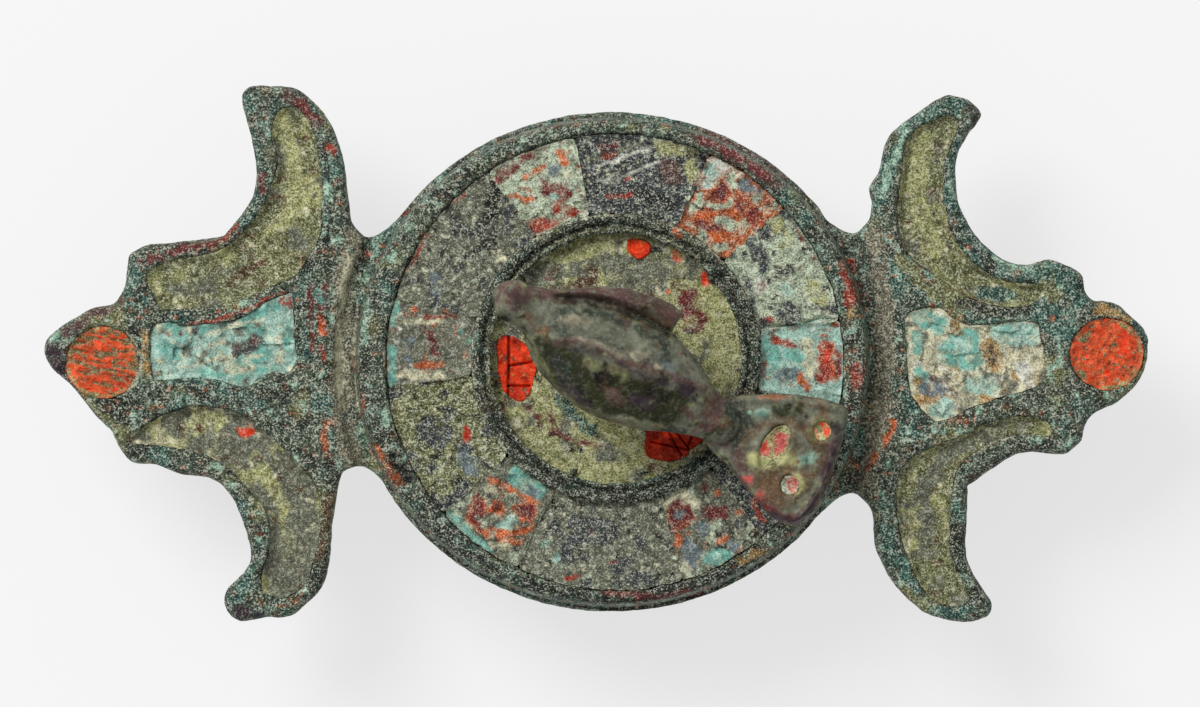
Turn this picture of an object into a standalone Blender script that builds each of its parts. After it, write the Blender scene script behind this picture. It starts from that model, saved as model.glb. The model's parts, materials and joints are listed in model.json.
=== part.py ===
"""Enamelled plate brooch, in metres, +Z out of its front.

A cast bronze disc carries two horned arms. Glass blocks fill the cell between its rim and an inner ring,
enamel fills the middle and the arms, and a small cast bird stands over the middle on a rivet. Behind, a pin
turns on an axle between two lugs and lies beside the catch, unfastened. The brooch rests on the lugs and
the catch.

The origin is at the middle of the brooch's outer box, on the surface that it rests on.
"""

import math

import bmesh
import bpy

# Reach of the arms and heights above the back face
LEFT_REACH = 0.02842
RIGHT_REACH = 0.02678
HORN_SPAN = 0.0268
ARM_THICKNESS = 0.0020
DISC_THICKNESS = 0.0033
EDGE_SLOPE = 0.00012

# Disc and inner ring
DISC_HALF_WIDTH = 0.0131
DISC_HALF_HEIGHT = 0.01248
DISC_DROP = 0.0004
DISC_EDGE = 0.0003
RIM_SIDE_WIDTH = 0.0014
RIM_TOP_WIDTH = 0.00078
RIM_BEVEL = 0.00015
NECK_WIDTH = 0.0011
NECK_DEPTH = 0.0006
RING_CELL_SHIFT = 0.00013
RING_RADIUS = 0.00725
RING_WALL = 0.0010
RING_SHIFT_X = 0.00018
RING_SHIFT_Y = 0.00018
RING_RISE = 0.0003
GROOVE_DEPTH = 0.0003
INNER_LAND_DROP = 0.0001

# The ring's top, as shares of its wall from outside: the outer land, the groove and the inner land
OUTER_LAND_SHARE = 0.50
GROOVE_SHARE = 0.62
INNER_LAND_SHARE = 0.75

# Cells and what fills them
CELL_DEPTH = 0.0010
FIT_GAP = 0.0001
INLAY_SINK = 0.0002
MIDDLE_SINK = 0.0006
TERMINAL_INLAY_RADIUS = 0.0018
BLOCK_ANGLE = math.radians(23)
BOSS_RADIUS = 0.00075
BOSS_RISE = 0.00025

# Bird
BIRD_LENGTH = 0.0193
BIRD_LIFT = 0.0020
BIRD_DEPTH = 0.0045
RIVET_RADIUS = 0.0009
RIVET_REACH = 0.0038
TAIL_LIFT = 0.0016
TAIL_THICKNESS = 0.0012
TAIL_CELL_DEPTH = 0.0005
TAIL_DOT_RADIUS = 0.00048
TAIL_OVAL_ALONG = 0.00066
TAIL_OVAL_ASIDE = 0.0012

# Hinge, pin and catch
HINGE_X = -0.0105
HINGE_DROP = 0.0048
LUG_RADIUS = 0.0016
LUG_FOOT = 0.0006
LUG_THICKNESS = 0.0015
LUG_ROOT = 0.0005
AXLE_RADIUS = 0.0006
EYE_RADIUS = 0.0014
EYE_WIDTH = 0.0022
EYE_GAP = 0.0002
PIN_ROOT_RADIUS = 0.0006
PIN_RADIUS = 0.0005
PIN_TAPER_RADIUS = 0.00035
PIN_POINT_RADIUS = 0.00008
PIN_LENGTH = 0.0265
PIN_TAPER = 0.0060
CATCH_X = 0.0095
CATCH_LENGTH = 0.0045
CATCH_WIDTH = 0.0026
CATCH_SIDE = -0.0004
CATCH_WALL = 0.0008
CATCH_LIP = 0.0006
PIN_CLEARANCE = 0.0003

# Facets, and the turn left free between an arm's last point and the disc's arc
ARC_STEPS = 72
RING_STEPS = 56
DOT_STEPS = 20
ROD_STEPS = 14
BODY_STEPS = 16
WING_STEPS = 10
LUG_STEPS = 6
SMOOTH_STEPS = 2
JOIN_ANGLE = math.radians(5)

# Where the photograph, 1200 by 707 pixels, shows the disc, the arms' and horns' tips and the ring's bore
TRACE_DISC = (612.4, 362.0)
TRACE_LEFT_TIP = 44.0
TRACE_RIGHT_TIP = 1148.0
TRACE_MIDLINE = 354.0
TRACE_HALF_SPAN = 268.0
TRACE_RING = (616.0, 358.4)
TRACE_BORE_RADIUS = 125.0

# Edge of each arm, hand picked in the photograph's pixels, from the disc round the tip and back
LEFT_ARM_EDGE = (
    (363, 236), (352, 222), (347, 190), (343, 160), (336, 137), (326, 117), (298, 90), (270, 86),
    (250, 87), (242, 100), (251, 137), (256, 166), (253, 196), (228, 231), (213, 238), (140, 248),
    (128, 264), (125, 284), (113, 304), (94, 308), (54, 332), (44, 349), (52, 368), (70, 384),
    (98, 418), (112, 431), (117, 443), (132, 462), (155, 464), (180, 474), (209, 478), (230, 494),
    (248, 538), (250, 562), (238, 579), (226, 592), (226, 608), (240, 621), (268, 617), (290, 616),
    (321, 587), (330, 553), (332, 523), (340, 479), (346, 470), (356, 466),
)
RIGHT_ARM_EDGE = (
    (857, 494), (870, 506), (874, 519), (876, 547), (894, 583), (917, 606), (928, 614), (961, 622),
    (981, 619), (992, 606), (972, 571), (966, 548), (968, 492), (972, 483), (1009, 458),
    (1030, 452), (1060, 454), (1071, 450), (1082, 439), (1084, 428), (1095, 413), (1118, 402),
    (1138, 382), (1146, 364), (1148, 345), (1144, 330), (1116, 304), (1094, 301), (1085, 291),
    (1082, 276), (1072, 268), (1049, 260), (1028, 265), (1012, 263), (995, 254), (974, 233),
    (960, 207), (956, 182), (958, 152), (979, 120), (980, 111), (969, 100), (955, 96), (941, 98),
    (900, 126), (886, 144), (880, 170), (870, 188), (872, 200), (870, 219), (858, 232),
)

# Cells of the arms, hand picked in the same way
ARM_CELLS = {
    "horn_left_upper": (
        (148, 286), (148, 273), (163, 262), (190, 257), (214, 252), (240, 236), (264, 204), (275, 174),
        (277, 153), (272, 128), (280, 110), (297, 108), (311, 126), (318, 153), (321, 180), (321, 230),
        (308, 256), (294, 275), (256, 293), (222, 305), (190, 308), (163, 308),
    ),
    "horn_left_lower": (
        (128, 440), (153, 421), (184, 408), (217, 408), (246, 418), (277, 443), (303, 468), (317, 491),
        (319, 530), (312, 563), (303, 585), (283, 597), (262, 590), (263, 572), (271, 542), (266, 512),
        (242, 482), (219, 462), (189, 450), (158, 446),
    ),
    "turquoise_left": (
        (152, 331), (163, 323), (185, 325), (215, 324), (245, 317), (264, 304), (287, 294),
        (293, 300), (293, 368), (276, 371), (260, 376), (249, 386), (236, 385), (215, 379),
        (185, 378), (158, 380), (152, 372),
    ),
    "horn_right_upper": (
        (948, 116), (925, 124), (907, 142), (902, 172), (898, 210), (901, 240), (916, 262), (944, 281),
        (965, 295), (984, 303), (1004, 307), (1031, 303), (1045, 294), (1045, 286), (1004, 281), (972, 261),
        (950, 230), (943, 195), (943, 165), (954, 138), (960, 122),
    ),
    "horn_right_lower": (
        (941, 604), (921, 585), (905, 550), (897, 510), (898, 478), (912, 458), (935, 447), (958, 438),
        (981, 426), (1004, 418), (1031, 417), (1050, 424), (1050, 435), (1016, 434), (992, 441), (968, 456),
        (955, 474), (951, 498), (949, 531), (952, 558), (962, 580), (970, 596), (960, 606),
    ),
    "turquoise_right": (
        (909, 314), (945, 311), (957, 321), (1027, 322), (1040, 332), (1042, 380), (1000, 397), (965, 410),
        (937, 421), (918, 402), (909, 380),
    ),
}
# Middles of the round terminal cells and of the boss on the left arm
TERMINALS = {"terminal_left": (102, 363), "terminal_right": (1107, 354)}
BOSSES = {"boss_left": (272.5, 393)}

# Glass of the outer ring: the clock hour of each chequered block, and its middle, in degrees from +X
CHEQUERS = {3: -1, 1: 54, 11: 112, 9: 175, 7: 233, 5: 299}

# Red enamel in the middle field, hand picked in the same way
MIDDLE_SPOTS = {
    "red_spot_left": (
        (499, 338), (510, 335), (526, 345), (535, 362), (534, 382), (525, 401), (509, 397), (498, 378),
    ),
    "red_spot_lower": (
        (647, 427), (672, 430), (702, 437), (697, 446), (680, 459), (664, 461), (647, 455),
    ),
    "red_spot_upper": (
        (628, 240), (640, 239), (651, 244), (649, 254), (639, 259), (629, 252),
    ),
}

# The turn of the bird's back from +X, and its spots: shares of its length from the beak and off the back
BIRD_TURN = math.radians(-29.1)
BIRD_SPOT_SHARES = {
    "rivet": (0.3595, -0.0125),
    "tail_oval": (0.832, 0.000),
    "tail_dot_near": (0.917, 0.094),
    "tail_dot_far": (0.914, -0.068),
}

# Stations along the bird: share of its length from the beak, then half width, middle of the width, middle of
# the height and half height, the widths as shares of its length and the heights as shares of its depth
BIRD_BODY = (
    (0.000, 0.006, 0.002, 0.74, 0.03),
    (0.018, 0.036, 0.002, 0.78, 0.13),
    (0.052, 0.056, 0.001, 0.82, 0.20),
    (0.095, 0.054, 0.000, 0.75, 0.21),
    (0.140, 0.066, -0.002, 0.64, 0.26),
    (0.195, 0.098, -0.006, 0.55, 0.34),
    (0.260, 0.126, -0.012, 0.50, 0.42),
    (0.340, 0.142, -0.012, 0.49, 0.46),
    (0.420, 0.144, -0.010, 0.47, 0.45),
    (0.500, 0.124, -0.008, 0.43, 0.39),
    (0.570, 0.094, -0.006, 0.36, 0.31),
    (0.630, 0.068, -0.012, 0.28, 0.23),
    (0.690, 0.056, -0.014, 0.21, 0.15),
    (0.730, 0.030, -0.014, 0.17, 0.06),
)
# A wing's stations: the same five shares, with the middle of the width counted away from the back
BIRD_WING_NEAR = (
    (0.130, 0.012, 0.055, 0.62, 0.04),
    (0.200, 0.044, 0.090, 0.60, 0.10),
    (0.290, 0.052, 0.122, 0.58, 0.13),
    (0.380, 0.044, 0.152, 0.54, 0.12),
    (0.430, 0.026, 0.178, 0.50, 0.08),
    (0.452, 0.008, 0.190, 0.48, 0.03),
)
BIRD_WING_FAR = (
    (0.130, 0.012, 0.058, 0.58, 0.04),
    (0.200, 0.040, 0.082, 0.54, 0.10),
    (0.300, 0.046, 0.108, 0.50, 0.13),
    (0.400, 0.040, 0.116, 0.47, 0.12),
    (0.480, 0.024, 0.104, 0.44, 0.08),
    (0.530, 0.008, 0.092, 0.41, 0.03),
)
# The tail's fan: shares of the bird's length from the beak and away from the back
BIRD_TAIL = (
    (0.655, -0.062), (0.762, -0.106), (0.840, -0.137), (0.927, -0.162), (0.979, -0.148), (1.001, -0.097),
    (0.995, 0.009), (0.966, 0.126), (0.948, 0.174), (0.904, 0.172), (0.842, 0.152), (0.754, 0.112),
    (0.660, 0.040),
)

# Levels, places and radii worked out from the sizes
RING_BORE_RADIUS = RING_RADIUS - RING_WALL
RING_CELL_HALF_WIDTH = DISC_HALF_WIDTH - DISC_EDGE - RIM_SIDE_WIDTH
RING_CELL_HALF_HEIGHT = DISC_HALF_HEIGHT - DISC_EDGE - RIM_TOP_WIDTH
BACK = HINGE_DROP + LUG_RADIUS
ARM_TOP = BACK + ARM_THICKNESS
DISC_TOP = BACK + DISC_THICKNESS
ARM_FLOOR = ARM_TOP - CELL_DEPTH
DISC_FLOOR = DISC_TOP - CELL_DEPTH
HINGE_Z = LUG_RADIUS
DISC_X = (LEFT_REACH - RIGHT_REACH) / 2
DISC_Y = -DISC_DROP


def clear_scene():
    for item in list(bpy.data.objects):
        bpy.data.objects.remove(item, do_unlink=True)


def finish_material(name, colour, roughness, metallic):
    """A plain Principled finish."""
    material = bpy.data.materials.new(name)
    material.use_nodes = True
    shader = material.node_tree.nodes["Principled BSDF"]
    shader.inputs["Base Color"].default_value = (*colour, 1.0)
    shader.inputs["Roughness"].default_value = roughness
    shader.inputs["Metallic"].default_value = metallic
    return material


def place(pixel):
    """A point of the photograph as a point of the brooch, stretched to the reach of the arm it is on."""
    across = pixel[0] - TRACE_DISC[0]
    if across < 0:
        x = LEFT_REACH * across / (TRACE_DISC[0] - TRACE_LEFT_TIP)
    else:
        x = RIGHT_REACH * across / (TRACE_RIGHT_TIP - TRACE_DISC[0])
    return (DISC_X + x, HORN_SPAN / 2 * (TRACE_MIDLINE - pixel[1]) / TRACE_HALF_SPAN)


def place_in_ring(pixel):
    """A point of the photograph's middle field, which grows with the ring's bore."""
    x, y = ring_centre()
    scale = RING_BORE_RADIUS / TRACE_BORE_RADIUS
    return (x + scale * (pixel[0] - TRACE_RING[0]), y + scale * (TRACE_RING[1] - pixel[1]))


def smooth(points, closed=True, steps=SMOOTH_STEPS):
    """A Catmull-Rom curve through the points, with so many steps from each to the next."""
    count = len(points)
    spans = count if closed else count - 1
    curve = []
    for i in range(spans):
        if closed:
            near = [points[(i + k) % count] for k in (-1, 0, 1, 2)]
        else:
            near = [points[min(max(i + k, 0), count - 1)] for k in (-1, 0, 1, 2)]
        for step in range(steps):
            t = step / steps
            weights = (
                (-t + 2 * t**2 - t**3) / 2,
                (2 - 5 * t**2 + 3 * t**3) / 2,
                (t + 4 * t**2 - 3 * t**3) / 2,
                (-(t**2) + t**3) / 2,
            )
            curve.append(tuple(sum(w * p[axis] for w, p in zip(weights, near)) for axis in (0, 1)))
    if not closed:
        curve.append(points[-1])
    return curve


def area(points):
    pairs = zip(points, points[1:] + points[:1])
    return sum(a[0] * b[1] - b[0] * a[1] for a, b in pairs) / 2


def anticlockwise(points):
    return points if area(points) > 0 else points[::-1]


def inset(points, distance):
    """An anticlockwise outline moved inwards, each corner along the mean of its two normals."""
    count = len(points)
    moved = []
    for i, (x, y) in enumerate(points):
        before, after = points[i - 1], points[(i + 1) % count]
        dx, dy = after[0] - before[0], after[1] - before[1]
        length = math.hypot(dx, dy)
        moved.append((x - distance * dy / length, y + distance * dx / length))
    return moved


def ellipse(centre, half_x, half_y, steps, start=0.0, end=2 * math.pi):
    """Points of an ellipse from one angle up to, but not at, another."""
    turns = [start + (end - start) * i / steps for i in range(steps)]
    return [(centre[0] + half_x * math.cos(t), centre[1] + half_y * math.sin(t)) for t in turns]


def mesh_object(name, mesh, material=None):
    """An object of the mesh so far, with its faces turned outwards."""
    data = bpy.data.meshes.new(name)
    bmesh.ops.recalc_face_normals(mesh, faces=mesh.faces)
    mesh.to_mesh(data)
    mesh.free()
    item = bpy.data.objects.new(name, data)
    bpy.context.collection.objects.link(item)
    if material:
        data.materials.append(material)
    return item


def add_prism(mesh, outline, low, high, slope=0.0):
    """A closed solid over an outline, whose top edge is drawn in by the slope."""
    outline = anticlockwise(outline)
    bottom = [mesh.verts.new((x, y, low)) for x, y in outline]
    top = [mesh.verts.new((x, y, high)) for x, y in inset(outline, slope)]
    mesh.faces.new(bottom[::-1])
    mesh.faces.new(top)
    for i in range(len(outline)):
        j = (i + 1) % len(outline)
        mesh.faces.new((bottom[i], bottom[j], top[j], top[i]))


def add_turned(mesh, centre, profile, steps, closed):
    """A profile of (x radius, y radius, height) turned about a centre; closed profiles are rings, open ones
    have their first and last stations capped."""
    rings = []
    for half_x, half_y, height in profile:
        outline = ellipse(centre, half_x, half_y, steps)
        rings.append([mesh.verts.new((x, y, height)) for x, y in outline])
    pairs = list(zip(rings, rings[1:]))
    if closed:
        pairs.append((rings[-1], rings[0]))
    for lower, upper in pairs:
        for i in range(steps):
            j = (i + 1) % steps
            mesh.faces.new((lower[i], lower[j], upper[j], upper[i]))
    if not closed:
        mesh.faces.new(rings[0][::-1])
        mesh.faces.new(rings[-1])


def add_rod(mesh, start, end, stations, steps):
    """A round rod between two points; each station is a share of the way and a radius."""
    along = [b - a for a, b in zip(start, end)]
    length = math.sqrt(sum(v * v for v in along))
    ahead = [v / length for v in along]
    # One side square to the rod, another square to both
    side = (-ahead[1], ahead[0], 0.0)
    span = math.hypot(side[0], side[1])
    side = (side[0] / span, side[1] / span, 0.0)
    up = (
        ahead[1] * side[2] - ahead[2] * side[1],
        ahead[2] * side[0] - ahead[0] * side[2],
        ahead[0] * side[1] - ahead[1] * side[0],
    )
    rings = []
    for share, radius in stations:
        ring = []
        for i in range(steps):
            turn = 2 * math.pi * (i + 0.5) / steps
            ring.append(
                mesh.verts.new([
                    start[k] + along[k] * share
                    + radius * (math.cos(turn) * side[k] + math.sin(turn) * up[k])
                    for k in range(3)
                ])
            )
        rings.append(ring)
    for lower, upper in zip(rings, rings[1:]):
        for i in range(steps):
            j = (i + 1) % steps
            mesh.faces.new((lower[i], lower[j], upper[j], upper[i]))
    mesh.faces.new(rings[0][::-1])
    mesh.faces.new(rings[-1])


def combine(target, other, operation):
    """A live Boolean with a hidden guide."""
    modifier = target.modifiers.new(operation.lower(), "BOOLEAN")
    modifier.operation = operation
    modifier.solver = "EXACT"
    modifier.object = other
    other.hide_render = True
    other.display_type = "WIRE"


def plate_outline():
    """The brooch's edge: the left arm, the disc below, the right arm and the disc above."""
    left = smooth([place(p) for p in LEFT_ARM_EDGE], closed=False)
    right = smooth([place(p) for p in RIGHT_ARM_EDGE], closed=False)

    def disc_angle(point):
        angle = math.atan2((point[1] - DISC_Y) / DISC_HALF_HEIGHT, (point[0] - DISC_X) / DISC_HALF_WIDTH)
        return angle % (2 * math.pi)

    def disc_arc(before, after):
        start, end = disc_angle(before), disc_angle(after)
        steps = round(ARC_STEPS * (end - start) / (2 * math.pi))
        start, end = start + JOIN_ANGLE, end - JOIN_ANGLE / 2
        return ellipse((DISC_X, DISC_Y), DISC_HALF_WIDTH, DISC_HALF_HEIGHT, steps, start, end)

    return left + disc_arc(left[-1], right[0]) + right + disc_arc(right[-1], left[0])


def cell_outline(name):
    return anticlockwise(smooth([place(p) for p in ARM_CELLS[name]]))


def terminal_outline(name, radius):
    return ellipse(place(TERMINALS[name]), radius, radius, DOT_STEPS)


def ring_centre():
    return (DISC_X + RING_SHIFT_X, DISC_Y + RING_SHIFT_Y)


def ring_cell_centre():
    return (DISC_X + RING_CELL_SHIFT, DISC_Y)


def make_plate(material):
    """The casting: arms, disc base, neck, raised dish, inner ring, boss, lugs and catch, less its cells."""
    mesh = bmesh.new()
    add_prism(mesh, plate_outline(), BACK, ARM_TOP, EDGE_SLOPE)
    plate = mesh_object("plate", mesh, material)

    mesh = bmesh.new()
    neck_floor = ARM_TOP - NECK_DEPTH
    centre = (DISC_X, DISC_Y)
    outer = (DISC_HALF_WIDTH + NECK_WIDTH, DISC_HALF_HEIGHT + NECK_WIDTH)
    under_dish = DISC_EDGE + NECK_DEPTH
    inner = (DISC_HALF_WIDTH - under_dish, DISC_HALF_HEIGHT - under_dish)
    add_turned(
        mesh,
        centre,
        (
            (outer[0] - NECK_DEPTH, outer[1] - NECK_DEPTH, neck_floor),
            (outer[0] + NECK_DEPTH, outer[1] + NECK_DEPTH, ARM_TOP + NECK_DEPTH),
            (*inner, ARM_TOP + NECK_DEPTH),
            (*inner, neck_floor),
        ),
        ARC_STEPS,
        closed=True,
    )
    combine(plate, mesh_object("neck_cutter", mesh), "DIFFERENCE")

    mesh = bmesh.new()
    wall_x = DISC_HALF_WIDTH - DISC_EDGE
    wall_y = DISC_HALF_HEIGHT - DISC_EDGE
    add_turned(
        mesh,
        centre,
        (
            (wall_x, wall_y, BACK + ARM_THICKNESS / 4),
            (wall_x - RIM_BEVEL, wall_y - RIM_BEVEL, DISC_TOP - RIM_BEVEL),
            (wall_x - 2 * RIM_BEVEL, wall_y - 2 * RIM_BEVEL, DISC_TOP),
        ),
        ARC_STEPS,
        closed=False,
    )
    combine(plate, mesh_object("dish", mesh), "UNION")

    mesh = bmesh.new()
    add_turned(
        mesh,
        ring_cell_centre(),
        (
            (RING_CELL_HALF_WIDTH, RING_CELL_HALF_HEIGHT, DISC_FLOOR),
            (RING_CELL_HALF_WIDTH, RING_CELL_HALF_HEIGHT, DISC_TOP + CELL_DEPTH),
        ),
        ARC_STEPS,
        closed=False,
    )
    for name in ARM_CELLS:
        add_prism(mesh, cell_outline(name), ARM_FLOOR, ARM_TOP + CELL_DEPTH)
    for name in TERMINALS:
        add_prism(mesh, terminal_outline(name, TERMINAL_INLAY_RADIUS), ARM_FLOOR, ARM_TOP + CELL_DEPTH)
    combine(plate, mesh_object("cell_cutter", mesh), "DIFFERENCE")

    mesh = bmesh.new()
    ring_top = DISC_TOP + RING_RISE
    inner_land = ring_top - INNER_LAND_DROP
    ring_foot = DISC_FLOOR - CELL_DEPTH / 2
    ring_profile = (
        (RING_RADIUS, ring_foot),
        (RING_RADIUS, ring_top - RIM_BEVEL),
        (RING_RADIUS - RIM_BEVEL, ring_top),
        (RING_RADIUS - RING_WALL * OUTER_LAND_SHARE, ring_top),
        (RING_RADIUS - RING_WALL * GROOVE_SHARE, ring_top - GROOVE_DEPTH),
        (RING_RADIUS - RING_WALL * INNER_LAND_SHARE, inner_land),
        (RING_BORE_RADIUS, inner_land - RIM_BEVEL),
        (RING_BORE_RADIUS, ring_foot),
    )
    add_turned(mesh, ring_centre(), [(r, r, z) for r, z in ring_profile], RING_STEPS, closed=True)
    for spot in BOSSES.values():
        outline = ellipse(place(spot), BOSS_RADIUS, BOSS_RADIUS, DOT_STEPS)
        add_prism(mesh, outline, ARM_FLOOR, ARM_TOP + BOSS_RISE)
    combine(plate, mesh_object("ring_and_boss", mesh), "UNION")

    combine(plate, make_back(), "UNION")
    mesh = bmesh.new()
    bore = AXLE_RADIUS + FIT_GAP
    reach = hinge_half_width() + LUG_THICKNESS
    add_rod(mesh, (HINGE_X, -reach, HINGE_Z), (HINGE_X, reach, HINGE_Z), ((0, bore), (1, bore)), DOT_STEPS)
    combine(plate, mesh_object("lug_bore_cutter", mesh), "DIFFERENCE")
    return plate


def hinge_half_width():
    """From the middle of the hinge to a lug's outer face."""
    return EYE_WIDTH / 2 + EYE_GAP + LUG_THICKNESS


def add_slab(mesh, outline, axis, low, high):
    """A closed solid over an outline that is extruded along X or Y."""

    def lift(point, along):
        return (along, point[0], point[1]) if axis == "X" else (point[0], along, point[1])

    near = [mesh.verts.new(lift(p, low)) for p in outline]
    far = [mesh.verts.new(lift(p, high)) for p in outline]
    mesh.faces.new(near)
    mesh.faces.new(far[::-1])
    for i in range(len(outline)):
        j = (i + 1) % len(outline)
        mesh.faces.new((near[i], far[i], far[j], near[j]))


def make_back():
    """Two lugs with a flat foot each, and the hooked catch, as one hidden guide."""
    mesh = bmesh.new()
    root = BACK + LUG_ROOT
    turn = math.asin(LUG_FOOT / LUG_RADIUS)
    arc = []
    for i in range(LUG_STEPS + 1):
        angle = -math.pi + (math.pi / 2 - turn) * i / LUG_STEPS
        arc.append((HINGE_X + LUG_RADIUS * math.cos(angle), HINGE_Z + LUG_RADIUS * math.sin(angle)))
    arc[-1] = (HINGE_X - LUG_FOOT, 0.0)
    mirror = [(2 * HINGE_X - x, z) for x, z in arc[::-1]]
    lug = [(HINGE_X - LUG_RADIUS, root)] + arc + mirror + [(HINGE_X + LUG_RADIUS, root)]
    outer = hinge_half_width()
    for side in (-1, 1):
        low, high = sorted((side * outer, side * (outer - LUG_THICKNESS)))
        add_slab(mesh, lug, "Y", low, high)

    y = CATCH_SIDE - CATCH_WIDTH / 2
    hook = (
        (y, root),
        (y, CATCH_WALL / 2),
        (y + CATCH_WALL / 2, 0.0),
        (y + CATCH_WIDTH - CATCH_WALL / 2, 0.0),
        (y + CATCH_WIDTH, CATCH_WALL / 2),
        (y + CATCH_WIDTH, CATCH_WALL + CATCH_LIP),
        (y + CATCH_WIDTH - CATCH_WALL / 2, CATCH_WALL + CATCH_LIP),
        (y + CATCH_WIDTH - CATCH_WALL, CATCH_WALL),
        (y + CATCH_WALL, CATCH_WALL),
        (y + CATCH_WALL, root),
    )
    add_slab(mesh, hook, "X", CATCH_X, CATCH_X + CATCH_LENGTH)
    return mesh_object("lugs_and_catch", mesh)


def make_hinge_axle(material):
    mesh = bmesh.new()
    reach = hinge_half_width()
    ends = ((0, AXLE_RADIUS), (1, AXLE_RADIUS))
    add_rod(mesh, (HINGE_X, -reach, HINGE_Z), (HINGE_X, reach, HINGE_Z), ends, DOT_STEPS)
    return mesh_object("hinge_axle", mesh, material)


def make_pin(material):
    """The eye round the axle and the shank, which passes beside the catch; its origin is on the hinge."""
    mesh = bmesh.new()
    half = EYE_WIDTH / 2
    add_rod(mesh, (0, -half, 0), (0, half, 0), ((0, EYE_RADIUS), (1, EYE_RADIUS)), DOT_STEPS)
    pin = mesh_object("pin", mesh, material)
    side = CATCH_SIDE + CATCH_WIDTH / 2 + PIN_CLEARANCE + PIN_RADIUS
    skew = math.atan2(side, CATCH_X - HINGE_X)
    tip = (PIN_LENGTH * math.cos(skew), PIN_LENGTH * math.sin(skew), 0)
    in_eye = (EYE_RADIUS + AXLE_RADIUS) / 2
    stations = (
        (in_eye / PIN_LENGTH, PIN_ROOT_RADIUS),
        ((in_eye + EYE_RADIUS) / PIN_LENGTH, PIN_RADIUS),
        (1 - PIN_TAPER / PIN_LENGTH, PIN_RADIUS),
        (1 - PIN_TAPER / 2 / PIN_LENGTH, PIN_TAPER_RADIUS),
        (1, PIN_POINT_RADIUS),
    )
    mesh = bmesh.new()
    add_rod(mesh, (0, 0, 0), tip, stations, ROD_STEPS)
    shank = mesh_object("shank_guide", mesh)
    combine(pin, shank, "UNION")
    mesh = bmesh.new()
    bore = AXLE_RADIUS + FIT_GAP
    add_rod(mesh, (0, -EYE_WIDTH, 0), (0, EYE_WIDTH, 0), ((0, bore), (1, bore)), DOT_STEPS)
    cutter = mesh_object("eye_bore_cutter", mesh)
    combine(pin, cutter, "DIFFERENCE")
    for item in (pin, shank, cutter):
        item.location = (HINGE_X, 0, HINGE_Z)
    return pin


def make_arm_inlays(horn, turquoise, red):
    for name in ARM_CELLS:
        mesh = bmesh.new()
        outline = inset(cell_outline(name), FIT_GAP)
        add_prism(mesh, outline, ARM_FLOOR + FIT_GAP, ARM_TOP - INLAY_SINK)
        mesh_object(name, mesh, turquoise if name.startswith("turquoise") else horn)
    for name in TERMINALS:
        mesh = bmesh.new()
        outline = terminal_outline(name, TERMINAL_INLAY_RADIUS - FIT_GAP)
        add_prism(mesh, outline, ARM_FLOOR + FIT_GAP, ARM_TOP - INLAY_SINK)
        mesh_object(name, mesh, red)


def make_ring_glass(chequer, plain):
    """Blocks side by side round the ring cell: chequers of one width, and plain fields that fill between."""
    hours = list(CHEQUERS)
    angles = [math.radians(CHEQUERS[hour]) for hour in hours]
    angles.append(angles[0] + 2 * math.pi)
    half = BLOCK_ANGLE / 2
    for i, hour in enumerate(hours):
        middle_hour = (hour - 2) % 12 + 1
        add_ring_block(f"chequer_{hour}", angles[i] - half, angles[i] + half, chequer)
        add_ring_block(f"field_{middle_hour}", angles[i] + half, angles[i + 1] - half, plain)


def add_ring_block(name, start, end, material):
    """A block between two angles, clear of the ring, the rim and its neighbours."""
    near = RING_RADIUS + FIT_GAP
    far_x, far_y = RING_CELL_HALF_WIDTH - FIT_GAP, RING_CELL_HALF_HEIGHT - FIT_GAP
    steps = max(3, round(ARC_STEPS * (end - start) / (2 * math.pi)))
    inner, outer = [], []
    for i in range(steps + 1):
        inner_angle = start + FIT_GAP / 2 / near + (end - start - FIT_GAP / near) * i / steps
        outer_angle = start + FIT_GAP / 2 / far_y + (end - start - FIT_GAP / far_y) * i / steps
        x, y = ring_centre()
        inner.append((x + near * math.cos(inner_angle), y + near * math.sin(inner_angle)))
        x, y = ring_cell_centre()
        outer.append((x + far_x * math.cos(outer_angle), y + far_y * math.sin(outer_angle)))
    mesh = bmesh.new()
    add_prism(mesh, outer + inner[::-1], DISC_FLOOR + FIT_GAP, DISC_TOP - INLAY_SINK)
    mesh_object(name, mesh, material)


def make_middle(pale, red):
    """The field in the ring's bore, with holes for the rivet and for its red spots."""
    low, high = DISC_FLOOR + FIT_GAP, DISC_TOP - MIDDLE_SINK
    mesh = bmesh.new()
    radius = RING_BORE_RADIUS - FIT_GAP
    add_prism(mesh, ellipse(ring_centre(), radius, radius, RING_STEPS), low, high)
    field = mesh_object("middle_field", mesh, pale)
    mesh = bmesh.new()
    hole = RIVET_RADIUS + FIT_GAP
    add_prism(mesh, ellipse((DISC_X, DISC_Y), hole, hole, DOT_STEPS), low - CELL_DEPTH, high + CELL_DEPTH)
    for name, points in MIDDLE_SPOTS.items():
        outline = anticlockwise(smooth([place_in_ring(p) for p in points]))
        add_prism(mesh, outline, low - CELL_DEPTH, high + CELL_DEPTH)
        spot = bmesh.new()
        add_prism(spot, inset(outline, FIT_GAP), low, high)
        mesh_object(name, spot, red)
    combine(field, mesh_object("middle_cutter", mesh), "DIFFERENCE")


def bird_point(share, away):
    """A point of the bird, whose rivet stands in the disc's middle; both shares are of the bird's length."""
    along = BIRD_LENGTH * (share - BIRD_SPOT_SHARES["rivet"][0])
    aside = BIRD_LENGTH * (away - BIRD_SPOT_SHARES["rivet"][1])
    cos, sin = math.cos(BIRD_TURN), math.sin(BIRD_TURN)
    return (DISC_X + along * cos - aside * sin, DISC_Y + along * sin + aside * cos)


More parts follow.
